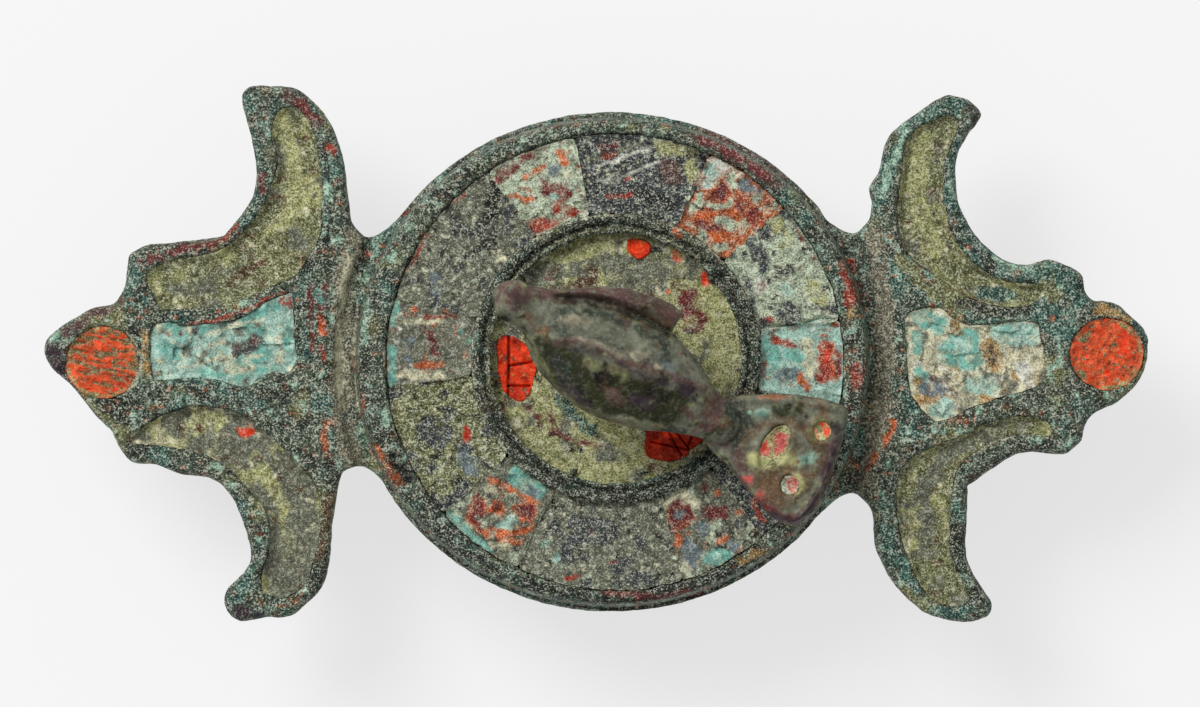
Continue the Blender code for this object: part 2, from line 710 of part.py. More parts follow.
def add_bird_loft(mesh, stations, side, steps):
    """Ovals across the back, one for each station, closed at both ends."""
    base = DISC_TOP + BIRD_LIFT
    rings = []
    for share, half_width, away, height, half_height in stations:
        ring = []
        for i in range(steps):
            turn = 2 * math.pi * i / steps
            x, y = bird_point(share, side * away + half_width * math.cos(turn))
            z = base + BIRD_DEPTH * (height + half_height * math.sin(turn))
            ring.append(mesh.verts.new((x, y, z)))
        rings.append(ring)
    for before, after in zip(rings, rings[1:]):
        for i in range(steps):
            j = (i + 1) % steps
            mesh.faces.new((before[i], before[j], after[j], after[i]))
    mesh.faces.new(rings[0][::-1])
    mesh.faces.new(rings[-1])


def tail_cell(name, gap):
    """The outline of a cell in the tail, or with a gap that of its glass, turned with the bird."""
    if name == "tail_oval":
        along, aside = TAIL_OVAL_ALONG - gap, TAIL_OVAL_ASIDE - gap
    else:
        along = aside = TAIL_DOT_RADIUS - gap
    points = ellipse(BIRD_SPOT_SHARES[name], along / BIRD_LENGTH, aside / BIRD_LENGTH, DOT_STEPS)
    return [bird_point(share, away) for share, away in points]


def make_bird(bronze, red):
    """The cast bird: body, wings, tail and rivet as one, with three cells in the tail and their glass."""
    mesh = bmesh.new()
    add_bird_loft(mesh, BIRD_BODY, 1, BODY_STEPS)
    bird = mesh_object("bird", mesh, bronze)
    for name, stations, side in (("wing_near", BIRD_WING_NEAR, 1), ("wing_far", BIRD_WING_FAR, -1)):
        mesh = bmesh.new()
        add_bird_loft(mesh, stations, side, WING_STEPS)
        combine(bird, mesh_object(name, mesh), "UNION")

    tail_low = DISC_TOP + TAIL_LIFT
    tail_high = tail_low + TAIL_THICKNESS
    mesh = bmesh.new()
    fan = smooth([bird_point(share, away) for share, away in BIRD_TAIL])
    add_prism(mesh, fan, tail_low, tail_high, EDGE_SLOPE)
    rivet = ellipse((DISC_X, DISC_Y), RIVET_RADIUS, RIVET_RADIUS, DOT_STEPS)
    add_prism(mesh, rivet, DISC_FLOOR + FIT_GAP, DISC_TOP + RIVET_REACH)
    combine(bird, mesh_object("tail_and_rivet", mesh), "UNION")

    mesh = bmesh.new()
    floor = tail_high - TAIL_CELL_DEPTH
    for name in BIRD_SPOT_SHARES:
        if name == "rivet":
            continue
        add_prism(mesh, tail_cell(name, 0), floor, tail_high + TAIL_THICKNESS)
        glass = bmesh.new()
        add_prism(glass, tail_cell(name, FIT_GAP), floor + FIT_GAP, tail_high - FIT_GAP)
        mesh_object(name, glass, red)
    combine(bird, mesh_object("tail_cutter", mesh), "DIFFERENCE")


def main():
    clear_scene()
    bronze = finish_material("bronze_patina", (0.10, 0.14, 0.11), 0.6, 0.3)
    dark_bronze = finish_material("dark_bronze", (0.09, 0.08, 0.06), 0.42, 0.4)
    horn_enamel = finish_material("horn_enamel", (0.22, 0.23, 0.13), 0.85, 0.0)
    turquoise_glass = finish_material("turquoise_glass", (0.20, 0.52, 0.52), 0.4, 0.0)
    red_enamel = finish_material("red_enamel", (0.72, 0.06, 0.02), 0.5, 0.0)
    chequer_glass = finish_material("chequer_glass", (0.42, 0.30, 0.26), 0.5, 0.0)
    field_glass = finish_material("field_glass", (0.16, 0.20, 0.20), 0.5, 0.0)
    middle_enamel = finish_material("middle_enamel", (0.34, 0.37, 0.23), 0.8, 0.0)

    make_plate(bronze)
    make_hinge_axle(dark_bronze)
    make_pin(dark_bronze)
    make_arm_inlays(horn_enamel, turquoise_glass, red_enamel)
    make_ring_glass(chequer_glass, field_glass)
    make_middle(middle_enamel, red_enamel)
    make_bird(dark_bronze, red_enamel)


main()
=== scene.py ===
"""The looks of an enamelled plate brooch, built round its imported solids.

Every shape function works in the brooch's own millimetres; new_piece turns them into metres.
"""

import json
import math

import bpy
import numpy as np
from bpy.props import FloatProperty, FloatVectorProperty, PointerProperty
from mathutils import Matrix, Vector
from mathutils.geometry import delaunay_2d_cdt


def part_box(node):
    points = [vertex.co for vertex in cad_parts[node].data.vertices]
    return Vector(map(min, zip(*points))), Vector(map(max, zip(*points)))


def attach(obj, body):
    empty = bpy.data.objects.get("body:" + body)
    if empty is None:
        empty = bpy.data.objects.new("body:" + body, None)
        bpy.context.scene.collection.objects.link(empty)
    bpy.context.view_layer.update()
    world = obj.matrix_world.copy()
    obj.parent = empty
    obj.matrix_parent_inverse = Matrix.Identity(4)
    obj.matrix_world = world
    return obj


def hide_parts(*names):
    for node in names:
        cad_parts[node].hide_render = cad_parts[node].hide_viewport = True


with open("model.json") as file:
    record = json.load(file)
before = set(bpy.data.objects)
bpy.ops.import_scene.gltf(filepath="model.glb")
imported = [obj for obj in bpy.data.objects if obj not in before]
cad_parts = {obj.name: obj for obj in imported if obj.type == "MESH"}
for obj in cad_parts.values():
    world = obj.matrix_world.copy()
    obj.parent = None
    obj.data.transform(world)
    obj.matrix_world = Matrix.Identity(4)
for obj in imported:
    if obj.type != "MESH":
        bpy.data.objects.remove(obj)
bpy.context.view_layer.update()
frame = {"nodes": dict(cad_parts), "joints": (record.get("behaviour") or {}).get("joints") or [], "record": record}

bl_info = {
    "name": "Enamelled brooch",
    "version": (1, 0, 0),
    "blender": (4, 5, 0),
    "location": "3D View > Sidebar > Brooch",
    "description": "Eroded bronze, weathered glass and enamel for a plate brooch with a bird",
    "category": "Object",
}

MM = 0.001


def span(node):
    """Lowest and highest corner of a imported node, in millimetres."""
    low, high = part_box(node)
    return np.array(low) / MM, np.array(high) / MM


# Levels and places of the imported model, in millimetres
INLAY_SINK = 0.2
GLASS_GAP = 0.1
PLATE_LOW, PLATE_HIGH = span("plate")
BACK = frame["record"]["mounts"][0]["pos_m"][2] / MM
ARM_TOP = span("horn_left_upper")[1][2] + INLAY_SINK
ARM_FLOOR = span("horn_left_upper")[0][2] - GLASS_GAP
DISC_TOP = span("chequer_3")[1][2] + INLAY_SINK
DISC_FLOOR = span("chequer_3")[0][2] - GLASS_GAP
RING_TOP = PLATE_HIGH[2]
TAIL_TOP = span("tail_oval")[1][2] + GLASS_GAP
HINGE = np.array(frame["joints"][0]["pos_m"]) / MM

# Where the photograph, 1200 by 707 pixels, shows the arms' tips and midline, its own middle, the middle of
# the disc, the bird's beak and the ring's middle
PHOTO_LEFT_TIP = 44
PHOTO_RIGHT_TIP = 1148
PHOTO_MIDLINE = 354
PHOTO_MIDDLE = (600, 353.5)
PHOTO_WIDTH = 1200
PHOTO_DISC = (612.4, 362)
PHOTO_BEAK = (493.5, 290.3)
PHOTO_RING = (616, 358.4)
PIXEL = (PLATE_HIGH[0] - PLATE_LOW[0]) / (PHOTO_RIGHT_TIP - PHOTO_LEFT_TIP)


def on_brooch(pixels):
    """Pixels of the photograph as millimetres: right from the left tip and up from the midline."""
    pixels = np.asarray(pixels, float)
    x = PLATE_LOW[0] + (pixels[..., 0] - PHOTO_LEFT_TIP) * PIXEL
    return np.stack([x, (PHOTO_MIDLINE - pixels[..., 1]) * PIXEL], -1)


def in_photo(points):
    """Millimetres of the brooch as pixels of the photograph, whatever their height."""
    x = PHOTO_LEFT_TIP + (points[:, 0] - PLATE_LOW[0]) / PIXEL
    return np.stack([x, PHOTO_MIDLINE - points[:, 1] / PIXEL], 1)


# Disc, ring and neck, in millimetres
DISC_CENTRE = on_brooch(PHOTO_DISC)
DISC_HALF = np.array([13.1, 12.48])
RING_CENTRE = (span("middle_field")[0] + span("middle_field")[1])[:2] / 2
RING_BORE = (span("middle_field")[1] - span("middle_field")[0])[0] / 2 + GLASS_GAP
RING_RADIUS = RING_BORE + 1.0
RING_CELL_CENTRE = DISC_CENTRE + np.array([0.13, 0.0])
RING_CELL_RADIUS = 11.4
NECK_DEPTH = 0.6
NECK_FLAT = 0.35
NECK_WIDTH = 1.1
WALL_LEAN = 0.015

# The disc's side and rim: depths in from its edge, and the levels there
DISC_DEPTHS = (-0.02, 0.0, 0.20, 0.27, 0.32, 0.39, 0.50, 0.65, 0.85)
DISC_LEVELS = (0.0, 7.72, 7.80, 8.10, 8.90, 9.38, 9.57, 9.67, 9.70)
# The ring's top: radii and the levels under the ring's highest one
RING_STATIONS = (6.23, 6.25, 6.33, 6.42, 6.50, 6.58, 6.64, 6.70, 6.78, 6.88, 7.05, 7.17, 7.25, 7.27)
RING_DROPS = (0.26, 0.22, 0.12, 0.10, 0.13, 0.27, 0.32, 0.27, 0.06, 0.0, 0.0, 0.05, 0.15, 0.20)

# The bird's size in millimetres, its turn from +X and its levels over the disc
BIRD_LENGTH = 19.3
BIRD_TURN = math.radians(-29.1)
BIRD_BASE = DISC_TOP + 2.0
BIRD_DEPTH = 4.5
TAIL_THICKNESS = 1.2
RIVET_RADIUS = 0.9
RIVET_REACH = 3.8
RIVET_LENGTH = 5
RIVET_TAPER = 0.9

# Mesh spacing in millimetres
BRONZE_STEP = 0.085
HIDDEN_STEP = 0.7
EDGE_STEP = 0.12
BACK_STEP = 0.55
RASTER = 0.03
EDGE_COARSE = 0.3
LEVEL_SLACK = 0.005
HAIR = 1e-4
SAME_SPOT = 1e-7
LEAST_GAP = 1e-6
LEAST_LENGTH = 1e-9
TINY = 1e-12
LEAST_POINTS = 8
LEAST_OVAL = 12
# An inlay's or the tail's edge: its spacing and its clearing, in steps of the mesh inside it
EDGE_SPACING = 1.2
EDGE_CLEARING = 0.75
# A honeycomb's rows, in steps, and the part of a step by which its points are shaken
HONEYCOMB_ROW = math.sqrt(0.75)
HONEYCOMB_SHAKE = 10
# Points round a rod, and how upright it may be before its sides are measured from X
ROD_AROUND = 28
UPRIGHT = 0.9
# Degrees between faces from which an edge is sharp
SHARP_ANGLE = 50
CHUNK = 3_000_000
LATTICE = 61
SEED_SHIFT = 3.17
OCTAVE_SEED = 17
# Waves of the cells' edges: period and height of each
EDGE_WAVES = ((0.9, 0.05), (0.3, 0.03))


# Noise and plane geometry, worked out for all points at once

def ripple(points, period, seed):
    """Value noise from -1 to 1: the eight lattice values round a point, blended by smoothed shares."""
    table = np.random.default_rng(seed).random((LATTICE,) * 3)
    if points.shape[1] == 2:
        points = np.column_stack([points, np.zeros(len(points))])
    cell = points / period + seed * SEED_SHIFT
    base = np.floor(cell).astype(int)
    share = cell - base
    share = share * share * (3 - 2 * share)
    total = np.zeros(len(points))
    for corner in range(8):
        step = np.array([corner & 1, corner >> 1 & 1, corner >> 2 & 1])
        weight = np.where(step, share, 1 - share).prod(1)
        i, j, k = ((base + step) % LATTICE).T
        total += weight * table[i, j, k]
    return total * 2 - 1


def rough(points, period, seed, octaves=3):
    """Ripples of halving period and height, summed."""
    total = np.zeros(len(points))
    for octave in range(octaves):
        total += ripple(points, period / 2**octave, seed + OCTAVE_SEED * octave) / 2**octave
    return total


def layered(points, waves, seed):
    """Rough fields, each a period and a height, summed; their seeds count up from the first one's."""
    return sum(height * rough(points, period, seed + index) for index, (period, height) in enumerate(waves))


def smooth_step(value, low, high):
    """From 0 at low to 1 at high along a cubic."""
    share = np.clip((value - low) / (high - low), 0, 1)
    return share * share * (3 - 2 * share)


def rounded_drop(depth, radius):
    """How far a quarter-round edge lies under its top at a depth in from the edge."""
    share = np.clip(1 - depth / radius, 0, 1)
    return radius * (1 - np.sqrt(1 - share * share))


def wander(points):
    """The points of a cell's edge moved by a field that the cell's bronze and its glass share."""
    return points + np.stack([layered(points, EDGE_WAVES, seed) for seed in (5, 8)], 1)


def close_by(points, line, margin):
    """True where a point lies within a margin of the upright box round a line."""
    return ((points > line.min(0) - margin) & (points < line.max(0) + margin)).all(1)


def nearest(points, line, closed=False):
    """Least distance from each point to a line's segments, or to its one point."""
    line = np.asarray(line, float)
    if closed:
        line = np.concatenate([line, line[:1]])
    if len(line) == 1:
        return np.hypot(*(points - line[0]).T)
    start, along = line[:-1], line[1:] - line[:-1]
    square = np.maximum((along * along).sum(1), TINY)
    best = np.empty(len(points))
    parts = max(1, len(points) * len(start) // CHUNK)
    for part in np.array_split(np.arange(len(points)), parts):
        away = points[part, None] - start
        share = np.clip((away * along).sum(2) / square, 0, 1)
        away -= share[:, :, None] * along
        best[part] = np.sqrt((away * away).sum(2).min(1))
    return best


def inside(points, loop):
    """True where a point lies inside a loop."""
    return enclosed(points, loop, np.roll(loop, -1, 0))


def enclosed(points, start, end):
    """True where a ray to the right of a point crosses an odd number of the edges from start to end."""
    found = np.zeros(len(points), bool)
    rise = end[:, 1] - start[:, 1]
    slope = (end[:, 0] - start[:, 0]) / np.where(rise == 0, TINY, rise)
    for part in np.array_split(np.arange(len(points)), max(1, len(points) * len(start) // CHUNK)):
        y = points[part, 1, None]
        crossed = (start[:, 1] > y) != (end[:, 1] > y)
        at = start[:, 0] + (y - start[:, 1]) * slope
        found[part] = (crossed & (points[part, 0, None] < at)).sum(1) % 2 == 1
    return found


def outward(loop):
    """Unit normals of an anticlockwise loop, each square to the line between its neighbours."""
    along = np.roll(loop, -1, 0) - np.roll(loop, 1, 0)
    along /= np.maximum(np.hypot(*along.T), LEAST_LENGTH)[:, None]
    return np.stack([along[:, 1], -along[:, 0]], 1)


def mesh_arrays(mesh):
    """A mesh's points and triangles."""
    mesh.calc_loop_triangles()
    points = np.empty(len(mesh.vertices) * 3, np.float32)
    mesh.vertices.foreach_get("co", points)
    faces = np.empty(len(mesh.loop_triangles) * 3, np.int32)
    mesh.loop_triangles.foreach_get("vertices", faces)
    return points.reshape(-1, 3), faces.reshape(-1, 3)


def flat_loop(node, level):
    """The outer edge, anticlockwise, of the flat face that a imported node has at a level."""
    places, faces = mesh_arrays(frame["nodes"][node].data)
    places = places / MM
    faces = faces[(np.abs(places[faces][:, :, 2] - level) < LEVEL_SLACK).all(1)]
    spots, ids = np.unique(np.round(places[faces.ravel(), :2], 4), axis=0, return_inverse=True)
    following = dict(border(ids.reshape(-1, 3)).tolist())
    loops = []
    while following:
        first = next(iter(following))
        chain = [first]
        while chain[-1] in following:
            chain.append(following.pop(chain[-1]))
        loops.append(spots[chain[:-1]])
    loop = max(loops, key=lambda points: np.ptp(points[:, 0]))
    after = np.roll(loop, -1, 0)
    area = (loop[:, 0] * after[:, 1] - after[:, 0] * loop[:, 1]).sum()
    return loop if area > 0 else loop[::-1]


def border(faces):
    """The directed edges of triangles that no other triangle runs back along."""
    edges = np.concatenate([faces[:, [0, 1]], faces[:, [1, 2]], faces[:, [2, 0]]]).astype(np.int64)
    size = edges.max() + 1
    there, back = edges[:, 0] * size + edges[:, 1], edges[:, 1] * size + edges[:, 0]
    return edges[~np.isin(there, back)]


def cubic(t, a, b, slope_a, slope_b, length=1):
    """Along the cubic from a to b that has a slope at each end, at shares t of its length."""
    return (
        (2 * t**3 - 3 * t**2 + 1) * a
        + (t**3 - 2 * t**2 + t) * length * slope_a
        + (3 * t**2 - 2 * t**3) * b
        + (t**3 - t**2) * length * slope_b
    )


def resampled(loop, step, curved=True):
    """The loop at even steps, along cubics whose slopes are its points' mean slopes, or along straights."""
    after = np.roll(loop, -1, 0)
    length = np.hypot(*(after - loop).T)
    before = np.roll(length, 1)
    slope = (after - loop) / length[:, None]
    tangent = (np.roll(slope, 1, 0) * length[:, None] + slope * before[:, None]) / (length + before)[:, None]
    ends = np.concatenate([[0], np.cumsum(length)])
    count = max(LEAST_POINTS, round(ends[-1] / step))
    at = np.arange(count) * ends[-1] / count
    i = np.searchsorted(ends, at, side="right") - 1
    t = ((at - ends[i]) / length[i])[:, None]
    if not curved:
        return loop[i] * (1 - t) + after[i] * t
    return cubic(t, loop[i], after[i], tangent[i], np.roll(tangent, -1, 0)[i], length[i][:, None])


def oval(centre, half_x, half_y, step):
    """Points round an ellipse, about a step apart."""
    count = max(LEAST_OVAL, round(math.pi * (half_x + half_y) / step))
    turn = np.arange(count) * 2 * math.pi / count
    return np.asarray(centre) + np.stack([half_x * np.cos(turn), half_y * np.sin(turn)], 1)


def honeycomb(low, high, step, seed):
    """A hexagonal field of points over a box, each shaken by a tenth of its step."""
    rows = np.arange(low[1], high[1], step * HONEYCOMB_ROW)
    columns = np.arange(low[0], high[0], step)
    x, y = np.meshgrid(columns, rows)
    x = x + (np.arange(len(rows)) % 2)[:, None] * step / 2
    shake = np.random.default_rng(seed).normal(0, step / HONEYCOMB_SHAKE, (x.size, 2))
    return np.stack([x.ravel(), y.ravel()], 1) + shake


class Clearing:
    """A fine raster that remembers where points are, so that later ones keep away from them."""

    def __init__(self, low, high):
        self.low = np.asarray(low) - 1
        self.taken = np.zeros(np.ceil((np.asarray(high) + 1 - self.low) / RASTER).astype(int), bool)

    def cells(self, points):
        return ((points - self.low) / RASTER).astype(int)

    def add(self, points, reach):
        """Marks the raster's cells within a reach of the points."""
        steps = round(reach / RASTER)
        i, j = self.cells(points).T
        for right in range(-steps, steps + 1):
            for up in range(-steps, steps + 1):
                if right * right + up * up <= steps * steps + 1:
                    self.taken[i + right, j + up] = True

    def free(self, points):
        """The points that lie on no marked cell."""
        i, j = self.cells(points).T
        return points[~self.taken[i, j]]


# Solids from arrays: each is its points in millimetres and its triangles

def triangulate(loops, loose):
    """Delaunay triangles inside the first loop, with the segments of every loop kept as edges."""
    edges = []
    first = 0
    for loop in loops:
        ids = np.arange(len(loop)) + first
        edges.append(np.stack([ids, np.roll(ids, -1)], 1))
        first += len(loop)
    return fill_edges(np.concatenate([*loops, loose]), edges[0], np.concatenate(edges))


def fill_edges(points, outer, edges=None):
    """Delaunay triangles, anticlockwise, of the points inside the outer edges."""
    kept = outer if edges is None else edges
    made = delaunay_2d_cdt([Vector(p) for p in points.tolist()], kept.tolist(), [], 0, SAME_SPOT, False)
    flat = np.array([tuple(v) for v in made[0]])
    faces = np.array(made[2])
    a, b, c = flat[faces[:, 0]], flat[faces[:, 1]], flat[faces[:, 2]]
    turned = (b - a)[:, 0] * (c - a)[:, 1] - (b - a)[:, 1] * (c - a)[:, 0] < 0
    faces[turned] = faces[turned][:, ::-1]
    return flat, faces[enclosed((a + b + c) / 3, points[outer[:, 0]], points[outer[:, 1]])]


def stand(flat, faces, heights, rows, under=()):
    """Closes a flat net into a solid: its top at the heights, a wall of rows, each an outward shift and a
    level, below its edge, and the last row filled flat, over loose points if any are given."""
    used, faces = np.unique(faces, return_inverse=True)
    faces = faces.reshape(-1, 3)
    flat, heights = flat[used], heights[used]
    edges = border(faces)
    rim, ends = np.unique(edges, return_inverse=True)
    ends = ends.reshape(-1, 2)
    normal = np.zeros((len(rim), 2))
    along = flat[edges[:, 1]] - flat[edges[:, 0]]
    square = np.stack([along[:, 1], -along[:, 0]], 1) / np.hypot(*along.T)[:, None]
    np.add.at(normal, ends[:, 0], square)
    np.add.at(normal, ends[:, 1], square)
    normal /= np.maximum(np.hypot(*normal.T), LEAST_LENGTH)[:, None]
    points = [np.column_stack([flat, heights])]
    solid = [faces]
    upper = rim
    first = len(flat)
    for shift, level in rows:
        edge = flat[rim] + normal * shift
        lower = first + np.arange(len(rim))
        points.append(np.column_stack([edge, np.full(len(rim), level)]))
        a, b, c, d = upper[ends[:, 0]], upper[ends[:, 1]], lower[ends[:, 0]], lower[ends[:, 1]]
        solid += [np.stack([a, c, d], 1), np.stack([a, d, b], 1)]
        upper = lower
        first += len(rim)
    loose = np.asarray(under, float).reshape(-1, 2)
    bottom, cap = fill_edges(np.concatenate([edge, loose]), ends)
    extra = bottom[len(rim):]
    points.append(np.column_stack([extra, np.full(len(extra), rows[-1][1])]))
    ids = np.concatenate([upper, first + np.arange(len(extra))])
    solid.append(ids[cap][:, ::-1])
    return np.concatenate(points), np.concatenate(solid)


def slab(loop, step, height, low, seed, curved=True):
    """A solid over a loop: a fine top at height(points, depth from the edge), a wall and a flat underside."""
    edge = resampled(loop, step * EDGE_SPACING, curved)
    clearing = Clearing(edge.min(0), edge.max(0))
    clearing.add(edge, step * EDGE_CLEARING)
    loose = clearing.free(honeycomb(edge.min(0), edge.max(0), step, seed))
    loose = loose[inside(loose, edge)]
    flat, faces = triangulate([edge], loose)
    heights = height(flat, nearest(flat, edge, closed=True))
    return stand(flat, faces, heights, ((0.0, low),))


def net(rows, around, closed=False):
    """Triangles between rows of points that each run round, and from the last row to the first if closed."""
    i, j = np.meshgrid(np.arange(rows if closed else rows - 1), np.arange(around), indexing="ij")
    i, j = i.ravel(), j.ravel()
    following, beside = (i + 1) % rows, (j + 1) % around
    a, b, c, d = i * around + j, i * around + beside, following * around + j, following * around + beside
    return np.concatenate([np.stack([a, b, d], 1), np.stack([a, d, c], 1)])


def swept(rings):
    """A closed skin over rings of points, [ring, point, axis], with each end ring gathered to its middle."""
    rings = np.asarray(rings)
    count, around = rings.shape[:2]
    points = np.concatenate([rings.reshape(-1, 3), rings[:1].mean(1), rings[-1:].mean(1)])
    ring = np.arange(around)
    start, end = np.full(around, count * around), np.full(around, count * around + 1)
    last = (count - 1) * around
    faces = np.concatenate([
        net(count, around),
        np.stack([start, (ring + 1) % around, ring], 1),
        np.stack([end, last + ring, last + (ring + 1) % around], 1),
    ])
    return facing_out(points, faces)


def facing_out(points, faces):
    """The triangles turned so that the solid they close has a volume above nought."""
    a, b, c = points[faces[:, 0]], points[faces[:, 1]], points[faces[:, 2]]
    volume = (a * np.cross(b, c)).sum()
    return (points, faces) if volume > 0 else (points, faces[:, ::-1])


def rod(start, end, stations, around=ROD_AROUND):
    """A round rod between two points; each station is a distance from the start and a radius."""
    start, end = np.asarray(start, float), np.asarray(end, float)
    ahead = (end - start) / np.linalg.norm(end - start)
    side = np.cross(ahead, (0.0, 0.0, 1.0) if abs(ahead[2]) < UPRIGHT else (1.0, 0.0, 0.0))
    side /= np.linalg.norm(side)
    up = np.cross(ahead, side)
    turn = np.arange(around) * 2 * math.pi / around
    round_it = np.cos(turn)[:, None] * side + np.sin(turn)[:, None] * up
    distance, radius = np.array(stations, float).T
    return swept(start + distance[:, None, None] * ahead + radius[:, None, None] * round_it)


def extruded(loop, rows, order):
    """A closed solid of a loop carried through rows, each an outward shift and a distance along the third
    axis; order gives the axis that each of the loop's two measures and the distance belong to. The loop is
    shaken by a hair where its caps' triangles are found, since points in a line would leave slivers."""
    square = outward(loop)
    rings = [np.column_stack([loop + square * shift, np.full(len(loop), along)]) for shift, along in rows]
    points = np.concatenate(rings)
    count = len(loop)
    i = np.arange(count)
    j = (i + 1) % count
    faces = []
    for row in range(len(rows) - 1):
        low, high = row * count, (row + 1) * count
        faces += [np.stack([low + i, low + j, high + j], 1), np.stack([low + i, high + j, high + i], 1)]
    shaken = loop + np.random.default_rng(count).normal(0, HAIR, loop.shape)
    cap = fill_edges(shaken, np.stack([i, j], 1))[1]
    faces += [cap[:, ::-1], cap + (len(rows) - 1) * count]
    turned = np.empty_like(points)
    turned[:, list(order)] = points
    return facing_out(turned, np.concatenate(faces))


def raw_object(name, points, faces):
    mesh = bpy.data.meshes.new(name)
    mesh.vertices.add(len(points))
    mesh.vertices.foreach_set("co", np.ascontiguousarray(points, np.float32).ravel())
    mesh.loops.add(3 * len(faces))
    mesh.loops.foreach_set("vertex_index", np.ascontiguousarray(faces, np.int32).ravel())
    mesh.polygons.add(len(faces))
    mesh.polygons.foreach_set("loop_start", np.arange(0, 3 * len(faces), 3, dtype=np.int32))
    mesh.update(calc_edges=True)
    piece = bpy.data.objects.new(name, mesh)
    bpy.context.scene.collection.objects.link(piece)
    return piece


def arrays_of(piece):
    """An object's points and triangles with its modifiers in force."""
    done = piece.evaluated_get(bpy.context.evaluated_depsgraph_get())
    points, faces = mesh_arrays(done.to_mesh())
    done.to_mesh_clear()
    return points.astype(float), faces


def fused(solid, added, cut=()):
    """One solid made of several: the first, joined with the added ones, less the cut ones."""
    base = raw_object("fusing", *solid)
    helpers = []
    for operation, others in (("UNION", added), ("DIFFERENCE", cut)):
        for other in others:
            helper = raw_object("helper", *other)
            modifier = base.modifiers.new(operation, "BOOLEAN")
            modifier.operation = operation
            modifier.solver = "MANIFOLD"
            modifier.object = helper
            helpers.append(helper)
    bpy.context.view_layer.update()
    made = arrays_of(base)
    for helper in [base, *helpers]:
        bpy.data.objects.remove(helper)
    return made


def melted(solids, voxel, smoothing):
    """One skin round several solids: their voxels' surface, evened out."""
    first = 0
    points, faces = [], []
    for some_points, some_faces in solids:
        points.append(some_points)
        faces.append(some_faces + first)
        first += len(some_points)
    base = raw_object("melting", np.concatenate(points), np.concatenate(faces))
    remesh = base.modifiers.new("skin", "REMESH")
    remesh.mode = "VOXEL"
    remesh.voxel_size = voxel
    even = base.modifiers.new("even", "SMOOTH")
    even.factor = 0.5
    even.iterations = smoothing
    bpy.context.view_layer.update()
    made = arrays_of(base)
    bpy.data.objects.remove(base)
    return made


def normals_of(points, faces):
    """Each point's normal: the sum of the normals of its triangles, made one long."""
    a, b, c = points[faces[:, 0]], points[faces[:, 1]], points[faces[:, 2]]
    square = np.cross(b - a, c - a)
    total = np.zeros_like(points)
    for corner in range(3):
        np.add.at(total, faces[:, corner], square)
    return total / np.maximum(np.linalg.norm(total, axis=1), TINY)[:, None]


# Tones: colour as the eye reads it, from 0 to 255, then how grainy and how glossy the surface is, 0 to 1

TONES = {
    "bronze": ("Bronze patina", (88, 98, 84), 0.9, 0.15),
    "bronze_dark": ("Dark patina", (60, 66, 56), 0.9, 0.2),
    "charcoal": ("Charcoal", (46, 49, 44), 0.8, 0.2),
    "dark_olive": ("Dark olive", (44, 46, 26), 0.5, 0.3),
    "fibre_red": ("Fibrous red", (206, 78, 38), 0.3, 0.2),
    # Near-black: real pits, and painted shade in grooves and along the disc's lower rim
    "pit": ("Pit", (20, 19, 17), 0.3, 0.0),
    "teal": ("Teal crust", (74, 108, 98), 0.9, 0.1),
    "mint": ("Mint crust", (150, 184, 162), 0.8, 0.0),
    "olive": ("Olive", (120, 122, 84), 0.8, 0.05),
    "yellow_olive": ("Yellow olive", (164, 164, 112), 0.7, 0.05),
    "grey_olive": ("Grey olive", (104, 106, 90), 0.5, 0.3),
    "cream": ("Cream", (200, 196, 164), 0.6, 0.1),
    "pale_green": ("Pale green glass", (172, 184, 158), 0.7, 0.3),
    "white_glass": ("White glass", (205, 206, 192), 0.6, 0.4),
    "ochre": ("Ochre", (162, 128, 74), 0.7, 0.1),
    "brown": ("Brown", (98, 76, 54), 0.7, 0.2),
    "grey_brown": ("Grey brown", (134, 128, 108), 0.8, 0.1),
    "maroon": ("Maroon", (106, 46, 44), 0.5, 0.3),
    "purple_brown": ("Purple brown", (88, 66, 62), 0.5, 0.3),
    "purple_black": ("Purple black", (52, 42, 48), 0.3, 0.5),
    "brick": ("Brick red", (150, 56, 38), 0.6, 0.2),
    # Orange rust, also used for a painted highlight along the tail's upper rim
    "rust": ("Rust", (170, 88, 48), 0.7, 0.2),
    "orange": ("Orange", (198, 96, 46), 0.6, 0.2),
    "enamel_red": ("Red enamel", (214, 54, 18), 0.25, 0.35),
    "deep_red": ("Deep red enamel", (160, 34, 10), 0.25, 0.35),
    "pink_red": ("Pink red", (198, 84, 78), 0.4, 0.3),
    "turquoise": ("Turquoise glass", (104, 164, 150), 0.35, 0.5),
    "pale_turquoise": ("Pale turquoise", (152, 186, 172), 0.5, 0.4),
    "blue_grey": ("Blue grey glass", (98, 110, 114), 0.4, 0.5),
    "dark_blue_grey": ("Dark blue grey glass", (68, 72, 74), 0.7, 0.4),
}


def linear(value):
    """The light that a screen value from 0 to 255 stands for, by the curve of standard screens."""
    value = value / 255
    return value / 12.92 if value <= 0.04045 else ((value + 0.055) / 1.055) ** 2.4


def tone_of(name):
    """Red, green and blue light, grain and gloss of a tone."""
    colour = getattr(bpy.context.scene.brooch_tones, name)
    return np.array([*colour, *TONES[name][2:]])


# Strokes, in pixels: how soft their edges are, how far they are shaken and crumbled, and the radius from
# which they crumble in full
STROKE_SOFTNESS = 2.8
STROKE_SHAKE = 2.4
STROKE_CRUMBS = 2.2
CRUMBLED_RADIUS = 4
# Periods, in millimetres, of the shaking, the crumbs, the cover and the shade
SHAKE_PERIOD = 0.45
CRUMB_PERIOD = 0.22
COVER_PERIOD = 0.32
SHADE_PERIOD = 0.4
# Shares: how much a stroke covers, how far light and dark spread, and how soft a mottle's edge is
COVER = 0.9
COVER_SPREAD = 0.7
COVER_LEAST = 0.25
SHADE = 0.3
SHADE_RANGE = (0.45, 1.6)
MOTTLE_SOFTNESS = 0.45
